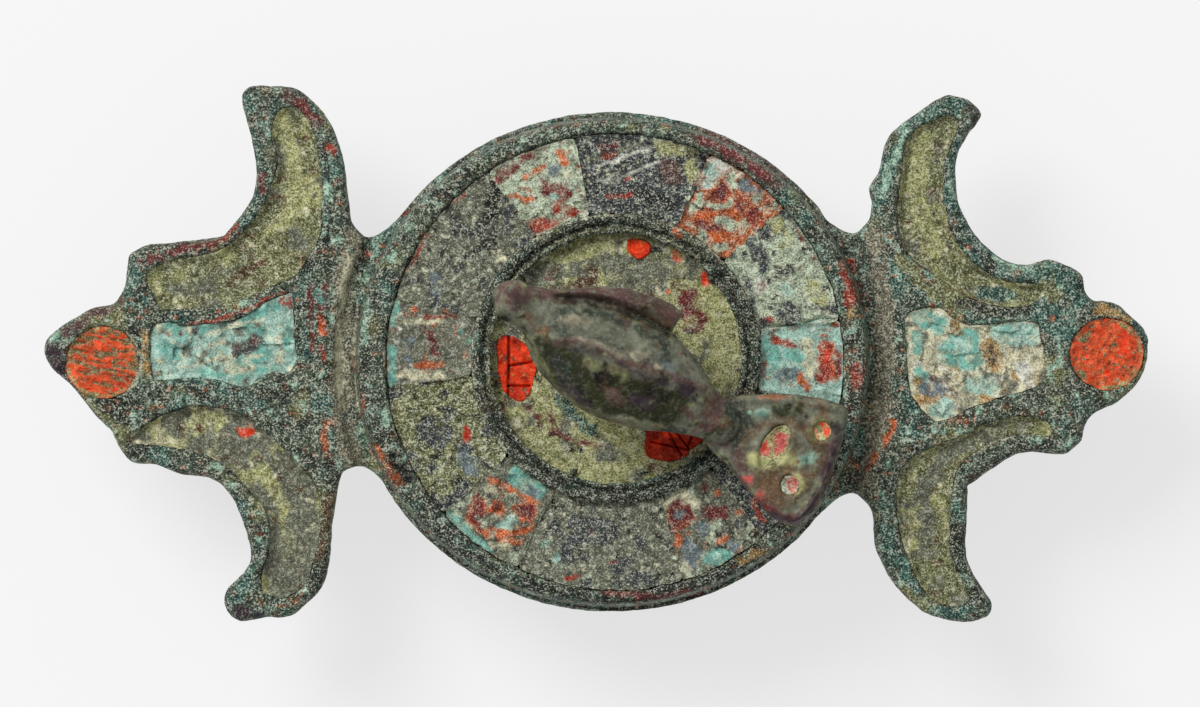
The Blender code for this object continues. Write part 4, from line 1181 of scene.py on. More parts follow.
OLIVE_POWDER = (
    ("grey_olive", 0.8, 0.35), ("yellow_olive", 1.1, 0.3), ("cream", 0.3, 0.12), ("brown", 0.5, 0.12),
)
FIELD_SPECKLE = (
    ("pale_green", 0.24, 0.14), ("charcoal", 0.3, 0.2), ("dark_blue_grey", 0.9, 0.3), ("cream", 0.16, 0.1),
)
CHEQUER_SPECKLE = (
    ("white_glass", 0.3, 0.12), ("grey_olive", 0.4, 0.14), ("rust", 0.5, 0.1), ("maroon", 0.25, 0.06),
)
CHEQUER_DARK = (("pale_green", 0.5, 0.35), ("charcoal", 0.35, 0.25), ("rust", 0.5, 0.1), ("cream", 0.2, 0.1))
GLASS = {
    "horn_left_upper": ("olive", OLIVE_POWDER, (
        ("yellow_olive", 8, (280, 116), (292, 150), (296, 200), (284, 226)),
        ("grey_olive", 6, (170, 290), (206, 286)),
        ("brown", 4, (230, 282), (262, 262)),
    )),
    "horn_left_lower": ("grey_olive", OLIVE_POWDER, (
        ("yellow_olive", 6, (262, 470), (286, 510), (290, 560)),
        ("enamel_red", 4.5, (243, 431), (249, 431)),
        ("cream", 1.3, (136, 442), (152, 446), (170, 440), (187, 445)),
        ("grey_olive", 9, (295, 520), (288, 570)),
    )),
    "horn_right_upper": ("olive", OLIVE_POWDER, (
        ("yellow_olive", 9, (925, 140), (916, 200), (935, 250)),
        ("teal", 7, (984, 292), (1010, 296)),
    )),
    "horn_right_lower": ("olive", OLIVE_POWDER, (
        ("grey_olive", 9, (1000, 428), (950, 450), (922, 490), (928, 550)),
    )),
    "turquoise_left": ("pale_turquoise", (
        ("cream", 0.5, 0.3),
        ("turquoise", 0.9, 0.3),
        ("grey_olive", 0.5, 0.25),
    ), (
        ("turquoise", 7, (164, 346), (174, 356)),
        ("turquoise", 6, (176, 330), (186, 340)),
        ("turquoise", 4, (240, 322), (262, 312), (276, 306)),
        ("cream", 1.5, (196, 338), (230, 326), (262, 318)),
        ("cream", 1.5, (180, 368), (220, 358), (262, 356)),
        ("turquoise", 3, (200, 372), (240, 378), (276, 368)),
        ("turquoise", 4, (286, 330), (288, 350)),
        ("cream", 2, (210, 346), (222, 340)),
        ("purple_brown", 8, (238, 350), (256, 342)),
        ("dark_blue_grey", 4, (240, 354), (252, 350)),
        ("maroon", 3, (162, 333), (166, 334)),
        ("purple_black", 4, (194, 331), (197, 334)),
        ("maroon", 2.5, (183, 333)),
        ("brick", 2, (186, 325), (240, 312)),
        ("brick", 5, (284, 299), (290, 304)),
        ("maroon", 4, (290, 308), (291, 314)),
    )),
    "turquoise_right": ("cream", (
        ("ochre", 0.8, 0.25),
        ("white_glass", 0.4, 0.2),
        ("grey_olive", 0.5, 0.35),
    ), (
        ("turquoise", 10, (922, 318), (938, 324)),
        ("turquoise", 6, (915, 338), (917, 350)),
        ("turquoise", 13, (950, 352), (966, 340), (970, 360)),
        ("pale_turquoise", 5, (958, 342), (966, 352)),
        ("ochre", 4, (956, 322), (958, 332)),
        ("pale_turquoise", 11, (1000, 332), (1030, 334)),
        ("turquoise", 5, (1006, 330), (1012, 336)),
        ("ochre", 8, (990, 346), (996, 366)),
        ("brown", 4, (990, 350), (994, 362)),
        ("pale_turquoise", 9, (972, 384), (990, 386)),
        ("pale_turquoise", 8, (936, 410), (946, 406)),
        ("blue_grey", 8, (926, 388), (940, 390)),
        ("turquoise", 5, (918, 372), (926, 376)),
        ("purple_brown", 4, (934, 378), (948, 380)),
        ("white_glass", 6, (1020, 366), (1030, 380)),
    )),
    "terminal_left": ("fibre_red", (("orange", 0.4, 0.25), ("enamel_red", 0.35, 0.2), ("olive", 0.3, 0.12)), (
        ("yellow_olive", 3.5, *arc((102, 362), 37, 0, 360)),
        ("brown", 3, (72, 342), (78, 334), (90, 328)),
        ("brown", 3, (116, 388), (124, 380), (130, 372)),
        ("enamel_red", 3, (116, 388), (124, 382)),
    )),
    "terminal_right": ("fibre_red", (
        ("enamel_red", 0.3, 0.3),
        ("orange", 0.25, 0.2),
        ("brown", 0.14, 0.2),
        ("olive", 0.2, 0.14),
    ), (
        ("yellow_olive", 3, *arc((1105, 354), 37, 0, 360)),
        ("enamel_red", 7, (1122, 336), (1128, 350)),
        ("olive", 3, (1082, 340), (1090, 330)),
        ("olive", 3, (1078, 372), (1084, 380)),
    )),
    "chequer_11": ("pale_green", CHEQUER_SPECKLE, (
        ("pale_green", 6, (500, 190), (536, 168)),
        ("maroon", 6.5, (501, 177), (524, 158), (545, 142)),
        ("orange", 3, (527, 177), (542, 169)),
        ("orange", 4, (560, 153), (566, 164)),
        ("blue_grey", 6, (554, 169)),
        ("cream", 5, (569, 176)),
        ("orange", 3, (510, 197), (532, 199)),
        ("maroon", 9, (550, 190), (562, 192)),
        ("pale_turquoise", 4, (556, 198)),
        ("brick", 7, (560, 208), (572, 210)),
        ("brick", 8, (530, 228), (552, 226)),
        ("deep_red", 1.5, (545, 226), (582, 212)),
    )),
    "field_10": ("grey_olive", FIELD_SPECKLE, (
        ("charcoal", 9, (502, 170), (490, 206), (488, 244)),
        ("blue_grey", 6, (436, 277)),
        ("blue_grey", 6, (436, 293)),
        ("cream", 5, (503, 256)),
        ("brick", 1.6, (464, 194), (436, 216), (421, 249), (401, 279)),
    )),
    "chequer_9": ("grey_olive", CHEQUER_SPECKLE, (
        ("turquoise", 5, (395, 297), (391, 323)),
        ("turquoise", 5, (392, 350), (392, 386)),
        ("blue_grey", 5, (410, 343)),
        ("blue_grey", 5, (410, 359)),
        ("maroon", 5, (430, 336), (436, 350)),
        ("orange", 2.5, (418, 364), (442, 364)),
        ("turquoise", 2.5, (460, 332)),
        ("turquoise", 2.5, (469, 340)),
        ("cream", 3, (405, 321), (442, 321)),
        ("cream", 4, (402, 375), (442, 375)),
        ("brick", 2, (426, 316), (454, 317)),
    )),
    "field_8": ("olive", FIELD_SPECKLE, (
        ("dark_blue_grey", 15, (432, 430), (438, 434)),
        ("pit", 3, (425, 419)),
        ("blue_grey", 9, (464, 458), (472, 466)),
        ("deep_red", 4, (466, 430), (466, 438)),
    )),
    "chequer_7": ("grey_olive", CHEQUER_DARK, (
        ("cream", 9, (526, 484)),
        ("turquoise", 12, (520, 478), (534, 490)),
        ("blue_grey", 5, (528, 488), (538, 494)),
        ("orange", 2.5, (490, 478), (512, 490), (540, 504)),
        ("orange", 11, (478, 506)),
        ("orange", 8, (498, 507)),
        ("orange", 12, (526, 511)),
        ("pale_turquoise", 5, (502, 526), (512, 520)),
        ("cream", 4, (490, 488), (494, 489)),
        ("maroon", 7, (478, 501), (479, 511)),
        ("maroon", 5.5, (498, 507)),
        ("maroon", 8.5, (524, 510), (528, 512)),
        ("orange", 3.5, (470, 520), (486, 532), (512, 534), (534, 526)),
        ("maroon", 3, (472, 518), (482, 528)),
        ("orange", 4, (500, 538), (520, 542)),
        ("cream", 3, (492, 542), (508, 546)),
        ("purple_brown", 4, (527, 540)),
        ("turquoise", 4, (447, 512), (470, 534), (492, 553)),
    )),
    "field_6": ("grey_olive", FIELD_SPECKLE, (
        ("dark_blue_grey", 14, (578, 530), (604, 532)),
        ("mint", 4, (545, 545)),
        ("deep_red", 2, (567, 576), (577, 576)),
        ("maroon", 4, (591, 534)),
        ("maroon", 4, (612, 562)),
        ("pale_turquoise", 5, (558, 558)),
    )),
    "chequer_5": ("grey_olive", CHEQUER_DARK, (
        ("cream", 5, (664, 506), (680, 492), (698, 506)),
        ("orange", 12.5, (679, 514), (679, 518)),
        ("maroon", 12, (679, 511), (679, 518)),
        ("blue_grey", 5, (679, 514)),
        ("orange", 4, (679, 536), (678, 545)),
        ("maroon", 6.5, (708, 512), (722, 512)),
        ("maroon", 5, (707, 488)),
        ("orange", 2.5, (718, 540), (727, 538)),
        ("blue_grey", 8, (704, 529)),
        ("blue_grey", 10, (690, 550), (692, 557)),
        ("blue_grey", 7, (733, 546)),
        ("dark_blue_grey", 6, (740, 524)),
        ("turquoise", 9, (714, 558), (722, 558)),
        ("pale_turquoise", 4, (716, 556)),
        ("cream", 6, (683, 567)),
        ("rust", 3, (668, 530), (672, 552)),
    )),
    "field_4": ("dark_blue_grey", FIELD_SPECKLE, (
        ("teal", 12, (790, 470), (800, 450)),
        ("brick", 2, (752, 500), (763, 520)),
    )),
    "chequer_3": ("pale_turquoise", CHEQUER_SPECKLE, (
        ("cream", 7, (806, 345), (812, 372)),
        ("turquoise", 8, (770, 346), (774, 362)),
        ("turquoise", 6, (790, 352), (800, 356)),
        ("blue_grey", 6, (782, 376), (796, 372)),
        ("brick", 4, (774, 341), (792, 344)),
        ("orange", 4, (800, 378), (806, 384)),
        ("orange", 11, (828, 350), (830, 372)),
        ("brick", 8, (826, 348), (824, 376)),
        ("enamel_red", 3, (828, 352), (826, 358)),
        ("maroon", 4, (838, 352), (838, 372)),
        ("cream", 2, (846, 342), (847, 384)),
    )),
    "field_2": ("pale_green", FIELD_SPECKLE, (
        ("grey_olive", 7, (788, 200), (800, 224), (818, 246)),
        ("yellow_olive", 7, (776, 224), (784, 240)),
        ("mint", 4, (779, 238)),
        ("maroon", 2.5, (799, 231)),
        ("maroon", 3, (802, 239)),
        ("maroon", 3.5, (816, 257)),
        ("maroon", 3, (801, 267)),
        ("dark_blue_grey", 8, (758, 250), (764, 268)),
        ("dark_blue_grey", 5, (752, 240)),
        ("white_glass", 8, (762, 286)),
        ("maroon", 4.5, (762, 286)),
        ("white_glass", 2, (762, 286)),
        ("pale_turquoise", 6, (787, 290)),
        ("yellow_olive", 7, (812, 284), (820, 300)),
        ("dark_blue_grey", 9, (784, 310), (792, 318)),
        ("brick", 3, (770, 319)),
        ("pale_turquoise", 2.5, (794, 330), (818, 321), (828, 321)),
        ("white_glass", 1.5, (766, 328), (790, 333), (812, 326), (834, 318)),
        ("ochre", 4, (806, 336), (840, 326)),
    )),
    "chequer_1": ("rust", CHEQUER_DARK, (
        ("orange", 4, (697, 196), (700, 214), (718, 238), (744, 242)),
        ("pale_green", 6, (701, 197), (704, 204)),
        ("pale_green", 4, (694, 206), (716, 206), (734, 202)),
        ("pale_green", 6, (722, 222), (734, 226)),
        ("pale_green", 4, (740, 234), (744, 224)),
        ("pale_green", 5, (731, 178), (730, 184)),
        ("pale_green", 6, (756, 196), (762, 194)),
        ("white_glass", 7, (740, 170), (756, 172)),
        ("white_glass", 13, (706, 176), (716, 166)),
        ("pale_turquoise", 8, (704, 178), (712, 172)),
        ("blue_grey", 7, (744, 186), (758, 187)),
        ("orange", 9, (714, 195), (722, 193)),
        ("maroon", 6.5, (714, 196), (722, 192)),
        ("orange", 8, (740, 204)),
        ("maroon", 5.5, (738, 206), (743, 201)),
        ("brick", 8, (752, 214), (756, 222)),
        ("maroon", 3.5, (754, 211)),
        ("orange", 2.5, (712, 214), (734, 211)),
        ("maroon", 3.5, (698, 222), (708, 226), (720, 228)),
        ("rust", 5, (730, 240), (746, 236)),
        ("rust", 3, (766, 184), (765, 200)),
    )),
    "field_12": ("dark_blue_grey", FIELD_SPECKLE, (
        ("grey_olive", 3, (590, 160), (640, 144)),
        ("white_glass", 1.5, (596, 168), (624, 158), (660, 146)),
        ("white_glass", 1.3, (600, 182), (640, 170), (664, 160)),
        ("maroon", 2, (600, 148), (618, 142)),
        ("maroon", 2, (602, 154), (616, 150)),
        ("brick", 2, (604, 158), (614, 155)),
        ("brick", 2.5, (608, 197), (616, 195), (630, 194)),
        ("enamel_red", 2, (628, 179)),
        ("charcoal", 7, (640, 196), (670, 206)),
        ("purple_brown", 9, (668, 166), (674, 176)),
        ("yellow_olive", 9, (664, 144), (688, 148)),
        ("yellow_olive", 6, (690, 164), (694, 174)),
        ("orange", 1.2, (637, 128), (661, 132), (692, 136)),
        ("pit", 7, (700, 156), (712, 156)),
        ("olive", 4, (697, 147), (716, 148)),
        ("yellow_olive", 3, (690, 180), (694, 172)),
    )),
    "middle_field": ("yellow_olive", (
        ("grey_olive", 0.9, 0.4),
        ("cream", 0.3, 0.2),
        ("charcoal", 0.4, 0.14),
        ("brown", 0.7, 0.12),
    ), (
        ("grey_olive", 10, (540, 276), (600, 262), (660, 270)),
        ("brown", 3, (548, 272), (556, 270)),
        ("brown", 3, (590, 270), (600, 272)),
        ("maroon", 2, (546, 276), (552, 278)),
        ("yellow_olive", 11, (560, 254), (590, 246)),
        ("yellow_olive", 15, (716, 310), (722, 350), (716, 376)),
        ("yellow_olive", 13, (530, 440), (570, 472), (616, 482)),
        ("grey_olive", 14, (620, 280), (690, 262)),
        ("maroon", 12, (690, 300), (694, 322)),
        ("enamel_red", 3.5, (502, 410)),
        ("enamel_red", 3.5, (676, 253), (680, 260)),
        ("enamel_red", 3.5, (704, 276), (708, 283)),
        ("enamel_red", 2.5, (668, 292)),
        ("maroon", 3, (526, 408), (540, 417)),
        ("maroon", 3.5, (549, 412), (551, 430), (571, 440), (599, 446)),
        ("pit", 3, (520, 442)),
        ("teal", 6, (560, 400), (590, 430)),
    )),
    "red_spot_left": ("enamel_red", (
        ("deep_red", 0.4, 0.3),
        ("brown", 0.25, 0.14),
        ("orange", 0.2, 0.12),
    ), ()),
    "red_spot_lower": ("deep_red", (("enamel_red", 0.5, 0.3),), ()),
    "red_spot_upper": ("enamel_red", (("orange", 0.3, 0.25),), ()),
    "tail_oval": ("yellow_olive", (("ochre", 0.3, 0.25), ("cream", 0.25, 0.2)), (
        ("pink_red", 6, (759, 443), (763, 450)),
        ("enamel_red", 4, (761, 440), (760, 446)),
        ("pink_red", 7, (780, 438), (778, 446)),
    )),
    "tail_dot_near": ("yellow_olive", (("cream", 0.3, 0.2),), (
        ("enamel_red", 7, (818, 424), (815, 432)),
        ("enamel_red", 4, (826, 432)),
    )),
    "tail_dot_far": ("pale_green", (("olive", 0.3, 0.25),), (
        ("pink_red", 7, (794, 484)),
        ("pit", 2, (802, 482), (803, 487)),
    )),
}
# Cracks and hollows in the inlays, as heights in millimetres and strokes in pixels
GLASS_CUTS = {
    "red_spot_left": (
        (-0.3, 1.2, (509, 336), (509, 372), (508, 400)),
        (-0.3, 1.2, (510, 366), (532, 362)),
        (-0.3, 1.2, (508, 386), (530, 386)),
    ),
    "red_spot_lower": (
        (-0.25, 0.9, (668, 430), (676, 446), (684, 459)),
        (-0.25, 0.9, (676, 432), (690, 450)),
        (-0.25, 0.9, (694, 432), (688, 446)),
        (-0.25, 0.9, (652, 442), (690, 450)),
    ),
    "chequer_9": ((-0.3, 1.4, (390, 395), (444, 394)),),
    "field_2": ((-0.25, 1.4, (766, 327), (796, 327), (820, 318), (836, 320)),),
    "field_12": ((-0.3, 7, (698, 156), (710, 154)),),
}
RED_SPOTS = ("red_spot_left", "red_spot_lower", "red_spot_upper")
# Broken glass: how much each kind's facets lean, their size, and the waves over them
FACET_TILT = {"turquoise": 0.13, "chequer": 0.07, "field": 0.05}
ENAMEL_TILT = 0.02
FACET_SIZE = 0.8
GLASS_WAVES = ((0.9, 0.05), (0.28, 0.035))
# Rise of an inlay at its edge: height, width, period and mean
RIM_RISE, RIM_WIDTH, RIM_PERIOD, RIM_MEAN = 0.16, 0.14, 0.6, 0.4
# Hollow of the horns' enamel: depth, width of its slope, and the period and height of the slope's waves
HORN_HOLLOW, HORN_SLOPE, HORN_PERIOD, HORN_WAVE = 0.26, 0.35, 0.7, 0.12
# Fibres of the left terminal: their turn, how far they are drawn out, their period and height, and the share,
# edge and cover of the olive that lies between them
FIBRE_TURN = math.radians(-12)
FIBRE_DRAWN, FIBRE_PERIOD, FIBRE_HEIGHT = 0.22, 0.13, 0.10
GAP_SHARE, GAP_EDGE, GAP_COVER = 0.4, 0.2, 0.85
# Period and height of the right terminal's crumbs
CRUMB_WAVE = (0.18, 0.06)
# Red spots: depth of the hollow each lies in, its rise and its edge's radius
SPOT_HOLLOW, SPOT_RISE, SPOT_ROUND = 0.45, 0.06, 0.12
SPOT_STEP = 0.2


def facets(points, size, tilt, seed):
    """Broken glass: each point lies on the plane of its nearest seed, which leans by chance."""
    rng = np.random.default_rng(seed)
    low, high = points.min(0), points.max(0)
    count = max(3, round((high - low).prod() / size**2))
    seeds = rng.uniform(low, high, (count, 2))
    lean = rng.normal(0, tilt, (count, 2))
    away = points[:, None] - seeds
    own = (away * away).sum(2).argmin(1)
    return ((points - seeds[own]) * lean[own]).sum(1) + rng.normal(0, tilt * size / 3, count)[own]


def fibres(points):
    """Waves drawn out along the fibres of the left terminal."""
    along = np.array([math.cos(FIBRE_TURN), math.sin(FIBRE_TURN)])
    across = np.array([-along[1], along[0]])
    return rough(np.stack([points @ along * FIBRE_DRAWN, points @ across], 1), FIBRE_PERIOD, 77)


def glass_heights(node, top, seed):
    """A function for slab: a level that rises to the bronze in places, waves, small facets on glass, the
    node's cuts, hollows under the red spots and, in the terminals, fibres."""
    kind = node.split("_")[0]
    tilt = FACET_TILT.get(kind, ENAMEL_TILT)
    spots = [resampled(flat_loop(name, span(name)[0][2]), SPOT_STEP) for name in RED_SPOTS]

    def height(points, depth):
        level = top + facets(points, FACET_SIZE, tilt, seed)
        level += layered(points, GLASS_WAVES, seed + 1)
        rise = ripple(points, RIM_PERIOD, seed + 3) + RIM_MEAN
        level += RIM_RISE * np.exp(-((depth / RIM_WIDTH) ** 2)) * rise
        level += relief(points, GLASS_CUTS.get(node, ()))
        if kind == "horn":
            slope = depth + rough(points, HORN_PERIOD, seed + 5) * HORN_WAVE
            level -= HORN_HOLLOW * smooth_step(slope, 0, HORN_SLOPE)
        if node == "terminal_left":
            level += fibres(points) * FIBRE_HEIGHT
        if node == "terminal_right":
            level += rough(points, CRUMB_WAVE[0], seed + 4) * CRUMB_WAVE[1]
        if node == "middle_field":
            for spot in spots:
                level -= SPOT_HOLLOW * inside(points, spot)
        if node in RED_SPOTS:
            level += SPOT_RISE - rounded_drop(depth, SPOT_ROUND)
        return level

    return height


def make_inlay(node, material, step, curved=True):
    """One inlay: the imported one's edge brought up to its cell's wall, under an uneven top."""
    low, high = span(node)
    loop = resampled(flat_loop(node, low[2]), EDGE_COARSE, curved)
    loop = wander(resampled(loop + outward(loop) * GLASS_GAP, EDGE_STEP, curved))
    seed = 100 + 7 * list(GLASS).index(node)
    solid = slab(loop, step, glass_heights(node, high[2], seed), low[2], seed, curved)
    ground, mottles, strokes = GLASS[node]
    tones = painted(solid, ground, mottles, strokes, seed)
    if node == "terminal_left":
        waves = fibres(solid[0][:, :2])
        gaps = smooth_step(np.quantile(waves, GAP_SHARE) - waves, 0, GAP_EDGE)[:, None]
        tones += (tone_of("olive") - tones) * gaps * GAP_COVER
    return new_piece(node + "_inlay", solid, tones, material, [node])


# Bird

# Share of its length from the beak, half width, middle of the width, middle of the height, half height
BIRD_BODY = (
    (0.000, 0.006, 0.002, 0.74, 0.03),
    (0.018, 0.036, 0.002, 0.78, 0.13),
    (0.052, 0.056, 0.001, 0.82, 0.20),
    (0.095, 0.054, 0.000, 0.75, 0.21),
    (0.140, 0.066, -0.002, 0.64, 0.26),
    (0.195, 0.098, -0.006, 0.55, 0.34),
    (0.260, 0.126, -0.012, 0.50, 0.42),
    (0.340, 0.142, -0.012, 0.49, 0.46),
    (0.420, 0.144, -0.010, 0.47, 0.45),
    (0.500, 0.124, -0.008, 0.43, 0.39),
    (0.570, 0.094, -0.006, 0.36, 0.31),
    (0.630, 0.068, -0.012, 0.28, 0.23),
    (0.690, 0.056, -0.014, 0.21, 0.15),
    (0.730, 0.030, -0.014, 0.17, 0.06),
)
BIRD_WING_NEAR = (
    (0.070, 0.014, 0.040, 0.68, 0.06),
    (0.146, 0.026, 0.056, 0.63, 0.11),
    (0.217, 0.034, 0.096, 0.61, 0.13),
    (0.280, 0.040, 0.125, 0.59, 0.14),
    (0.343, 0.038, 0.142, 0.57, 0.13),
    (0.402, 0.040, 0.151, 0.54, 0.12),
    (0.448, 0.034, 0.155, 0.51, 0.10),
    (0.456, 0.024, 0.162, 0.50, 0.07),
)
BIRD_WING_FAR = (
    (0.130, 0.012, -0.058, 0.58, 0.04),
    (0.200, 0.040, -0.082, 0.54, 0.10),
    (0.300, 0.046, -0.108, 0.50, 0.13),
    (0.400, 0.040, -0.116, 0.47, 0.12),
    (0.480, 0.024, -0.104, 0.44, 0.08),
    (0.530, 0.008, -0.092, 0.41, 0.03),
)
BIRD_TAIL = (
    (0.655, -0.062), (0.762, -0.106), (0.840, -0.137), (0.927, -0.162), (0.979, -0.148), (1.001, -0.097),
    (0.995, 0.009), (0.966, 0.126), (0.948, 0.174), (0.904, 0.172), (0.842, 0.152), (0.754, 0.112),
    (0.660, 0.040),
)
BIRD_RELIEF = (
    (0.34, 8, (552, 340), (576, 340), (596, 344), (613, 356), (655, 368), (700, 386), (716, 393)),
    (0.22, 6, (540, 290), (600, 293), (650, 306), (674, 316)),
    (-0.40, 4.5, (560, 298), (584, 299), (612, 304), (645, 319), (668, 333)),
    (-0.16, 15, (590, 322), (640, 344)),
    (-0.18, 15, (578, 370), (610, 388), (660, 402)),
    (-0.60, 7, (502, 320)),
    (0.15, 7, (509, 290)),
    (0.16, 3, (545, 366), (560, 388), (584, 406), (614, 418), (664, 425), (706, 440)),
    (0.18, 4, (735, 398), (790, 397), (836, 410)),
    (0.22, 5, (834, 440), (822, 486), (800, 517), (776, 512), (758, 497)),
)
BIRD_MOTTLES = (
    ("purple_brown", 1.1, 0.25),
    ("bronze_dark", 0.8, 0.25),
    ("brown", 0.6, 0.15),
    ("dark_olive", 0.5, 0.15),
    ("olive", 0.35, 0.1),
)
BIRD_STROKES = (
    ("purple_brown", 14, (510, 290), (516, 296)),
    # Painted highlight on the bird's head
    ("grey_brown", 2.5, (504, 297)),
    ("pit", 7, (503, 321)),
    ("yellow_olive", 2.5, (525, 285)),
    ("brown", 6, (529, 318)),
    ("purple_brown", 8, (534, 292), (600, 295), (640, 302), (674, 316)),
    ("brown", 2, (600, 303), (640, 314), (664, 328)),
    # Painted shade: a charcoal line in the groove under the wing strip
    ("charcoal", 3, (566, 299), (584, 300), (612, 305), (645, 320), (668, 335)),
    ("bronze_dark", 17, (568, 322), (610, 330), (656, 352)),
    ("grey_olive", 9, (574, 324), (610, 331), (650, 350)),
    # Painted highlight: pale grey-brown smudges on the upper facet, the side facing the light
    ("grey_brown", 4, (562, 318), (586, 322)),
    ("grey_brown", 3, (626, 350), (646, 356)),
    ("pit", 17, (564, 372), (610, 392), (666, 408)),
    ("dark_olive", 20, (560, 366), (610, 390), (668, 406)),
    ("dark_olive", 11, (544, 346), (566, 384), (600, 410)),
    ("pit", 6, (598, 376), (606, 380)),
    ("pit", 5, (650, 392), (662, 396)),
    ("pit", 4, (574, 390), (590, 400)),
    ("purple_black", 6, (636, 398), (648, 404)),
    ("olive", 6, (616, 368), (624, 373)),
    ("olive", 4, (590, 362), (596, 366)),
    ("teal", 3, (567, 370)),
    ("purple_brown", 6, (612, 394), (618, 400)),
    ("purple_black", 6, (676, 380), (690, 392)),
    ("purple_brown", 5, (686, 410), (694, 416)),
    ("purple_black", 6, (566, 388), (582, 404)),
    ("charcoal", 6, (556, 360), (566, 378)),
    ("purple_brown", 3.5, (556, 344), (579, 341), (596, 345), (613, 357), (655, 369), (704, 389)),
    ("purple_black", 2.5, (572, 348), (600, 354), (640, 374), (690, 392)),
    # Painted highlight: pale, blue-grey and cream glints along the ridge
    ("grey_brown", 1.5, (578, 338), (604, 346), (622, 356)),
    ("blue_grey", 3, (662, 362), (672, 368)),
    ("cream", 0.8, (630, 355), (636, 358)),
    ("cream", 0.8, (654, 365), (660, 367)),
    ("olive", 1.3, (525, 333), (541, 361), (560, 391), (581, 408), (612, 420), (664, 426)),
    ("brown", 9, (712, 402), (724, 420)),
    ("purple_brown", 7, (722, 396), (706, 424)),
    ("bronze_dark", 28, (775, 440), (800, 450), (780, 480)),
    ("brown", 26, (775, 440), (800, 450), (780, 480)),
    ("bronze_dark", 12, (732, 408), (746, 424), (738, 440)),
    ("grey_olive", 9, (765, 420), (800, 440), (808, 462)),
    ("mint", 3, (752, 412), (764, 410)),
    ("mint", 4, (802, 462), (812, 456)),
    ("dark_olive", 5, (778, 412), (800, 408)),
    ("purple_brown", 6, (829, 440), (826, 468)),
    ("teal", 4, (761, 414)),
    ("teal", 4, (805, 458)),
    ("brown", 22, (760, 450), (774, 443)),
    ("grey_olive", 17, (758, 452), (774, 444)),
    ("yellow_olive", 8, (754, 458), (768, 462), (786, 458)),
    ("brown", 15, (818, 429)),
    ("olive", 11, (818, 429)),
    ("yellow_olive", 9, (794, 484)),
    ("purple_brown", 8, (738, 458), (746, 480)),
    # Painted highlight: pale and orange lines along the tail's upper rim
    ("grey_brown", 1.3, (735, 397), (763, 395), (810, 396), (838, 410)),
    ("rust", 1, (760, 397), (786, 396)),
    ("purple_black", 4, (834, 424), (832, 450), (820, 488), (806, 512)),
    ("maroon", 5, (758, 500), (777, 515), (798, 520)),
    ("purple_black", 5, (770, 514), (794, 522), (812, 508)),
    ("pink_red", 4, (748, 477)),
    ("pink_red", 3.5, (759, 492)),
)


# Least half width and half height of the bird's ovals, as shares, and the smoothing of its melted skin
LEAST_WIDTH = 0.004
LEAST_HEIGHT = 0.01
SKIN_SMOOTHING = 3
BIRD_RINGS = 90
BIRD_AROUND = 56
# The tail's edge, its border and its cells' rims: radius, height, and place and width of each
TAIL_STEP = 0.1
TAIL_EDGE_STEP = 0.2
TAIL_ROUND = 0.30
TAIL_RIM = 0.10
TAIL_BORDER_AT, TAIL_BORDER_WIDTH = 0.3, 0.22
TAIL_CELL_AT, TAIL_CELL_WIDTH = 0.25, 0.16
TAIL_CELL_DEPTH = 0.16
TAIL_CELLS = ("tail_oval", "tail_dot_near", "tail_dot_far")
# Where, about the tail's top, the carving fades in, how soon it shows on slopes, and the waves of the wear
CARVED_FROM, CARVED_TO = -0.3, 0.5
CARVED_SLOPE = 1.6
BIRD_WAVES = ((1.4, 0.05), (0.45, 0.022))


def bird_at(shares):
    """Points of the bird from shares of its length: along from the beak and off its back."""
    along, aside = np.moveaxis(np.asarray(shares, float) * BIRD_LENGTH, -1, 0)
    cos, sin = math.cos(BIRD_TURN), math.sin(BIRD_TURN)
    return on_brooch(PHOTO_BEAK) + np.stack([along * cos - aside * sin, along * sin + aside * cos], -1)


def eased(stations, count):
    """Stations at even steps between the first and the last, along cubics through all of them."""
    stations = np.array(stations, float)
    at = np.linspace(0, len(stations) - 1, count)
    i = np.minimum(at.astype(int), len(stations) - 2)
    before = stations[np.maximum(i - 1, 0)]
    after = stations[np.minimum(i + 2, len(stations) - 1)]
    a, b = stations[i], stations[i + 1]
    return cubic((at - i)[:, None], a, b, (b - before) / 2, (after - a) / 2)


def bird_loft(stations):
    """Ovals across the bird's back, one for each station: width by cosine and height by sine."""
    share, half_width, away, height, half_height = eased(stations, BIRD_RINGS).T[:, :, None]
    turn = np.arange(BIRD_AROUND) * 2 * math.pi / BIRD_AROUND
    aside = away + np.maximum(half_width, LEAST_WIDTH) * np.cos(turn)
    flat = bird_at(np.stack([np.broadcast_to(share, aside.shape), aside], -1))
    level = BIRD_BASE + BIRD_DEPTH * (height + np.maximum(half_height, LEAST_HEIGHT) * np.sin(turn))
    return swept(np.concatenate([flat, level[..., None]], -1))


def tail_fan():
    """The tail's slab: round edges, a raised border and a rim round each of its three cells."""
    loop = resampled(bird_at(BIRD_TAIL), TAIL_EDGE_STEP)
    cells = [resampled(flat_loop(name, span(name)[0][2]), TAIL_STEP) for name in TAIL_CELLS]

    def height(points, depth):
        border_bell = np.exp(-((depth - TAIL_BORDER_AT) / TAIL_BORDER_WIDTH) ** 2)
        level = TAIL_TOP - rounded_drop(depth, TAIL_ROUND) + TAIL_RIM * border_bell
        for edge in cells:
            away = nearest(points, edge, closed=True)
            level += TAIL_RIM * np.exp(-((away - TAIL_CELL_AT) / TAIL_CELL_WIDTH) ** 2)
            hollow = inside(points, edge + outward(edge) * GLASS_GAP)
            level = np.where(hollow, TAIL_TOP - TAIL_CELL_DEPTH, level)
        return level

    return slab(loop, TAIL_STEP, height, TAIL_TOP - TAIL_THICKNESS, 51)


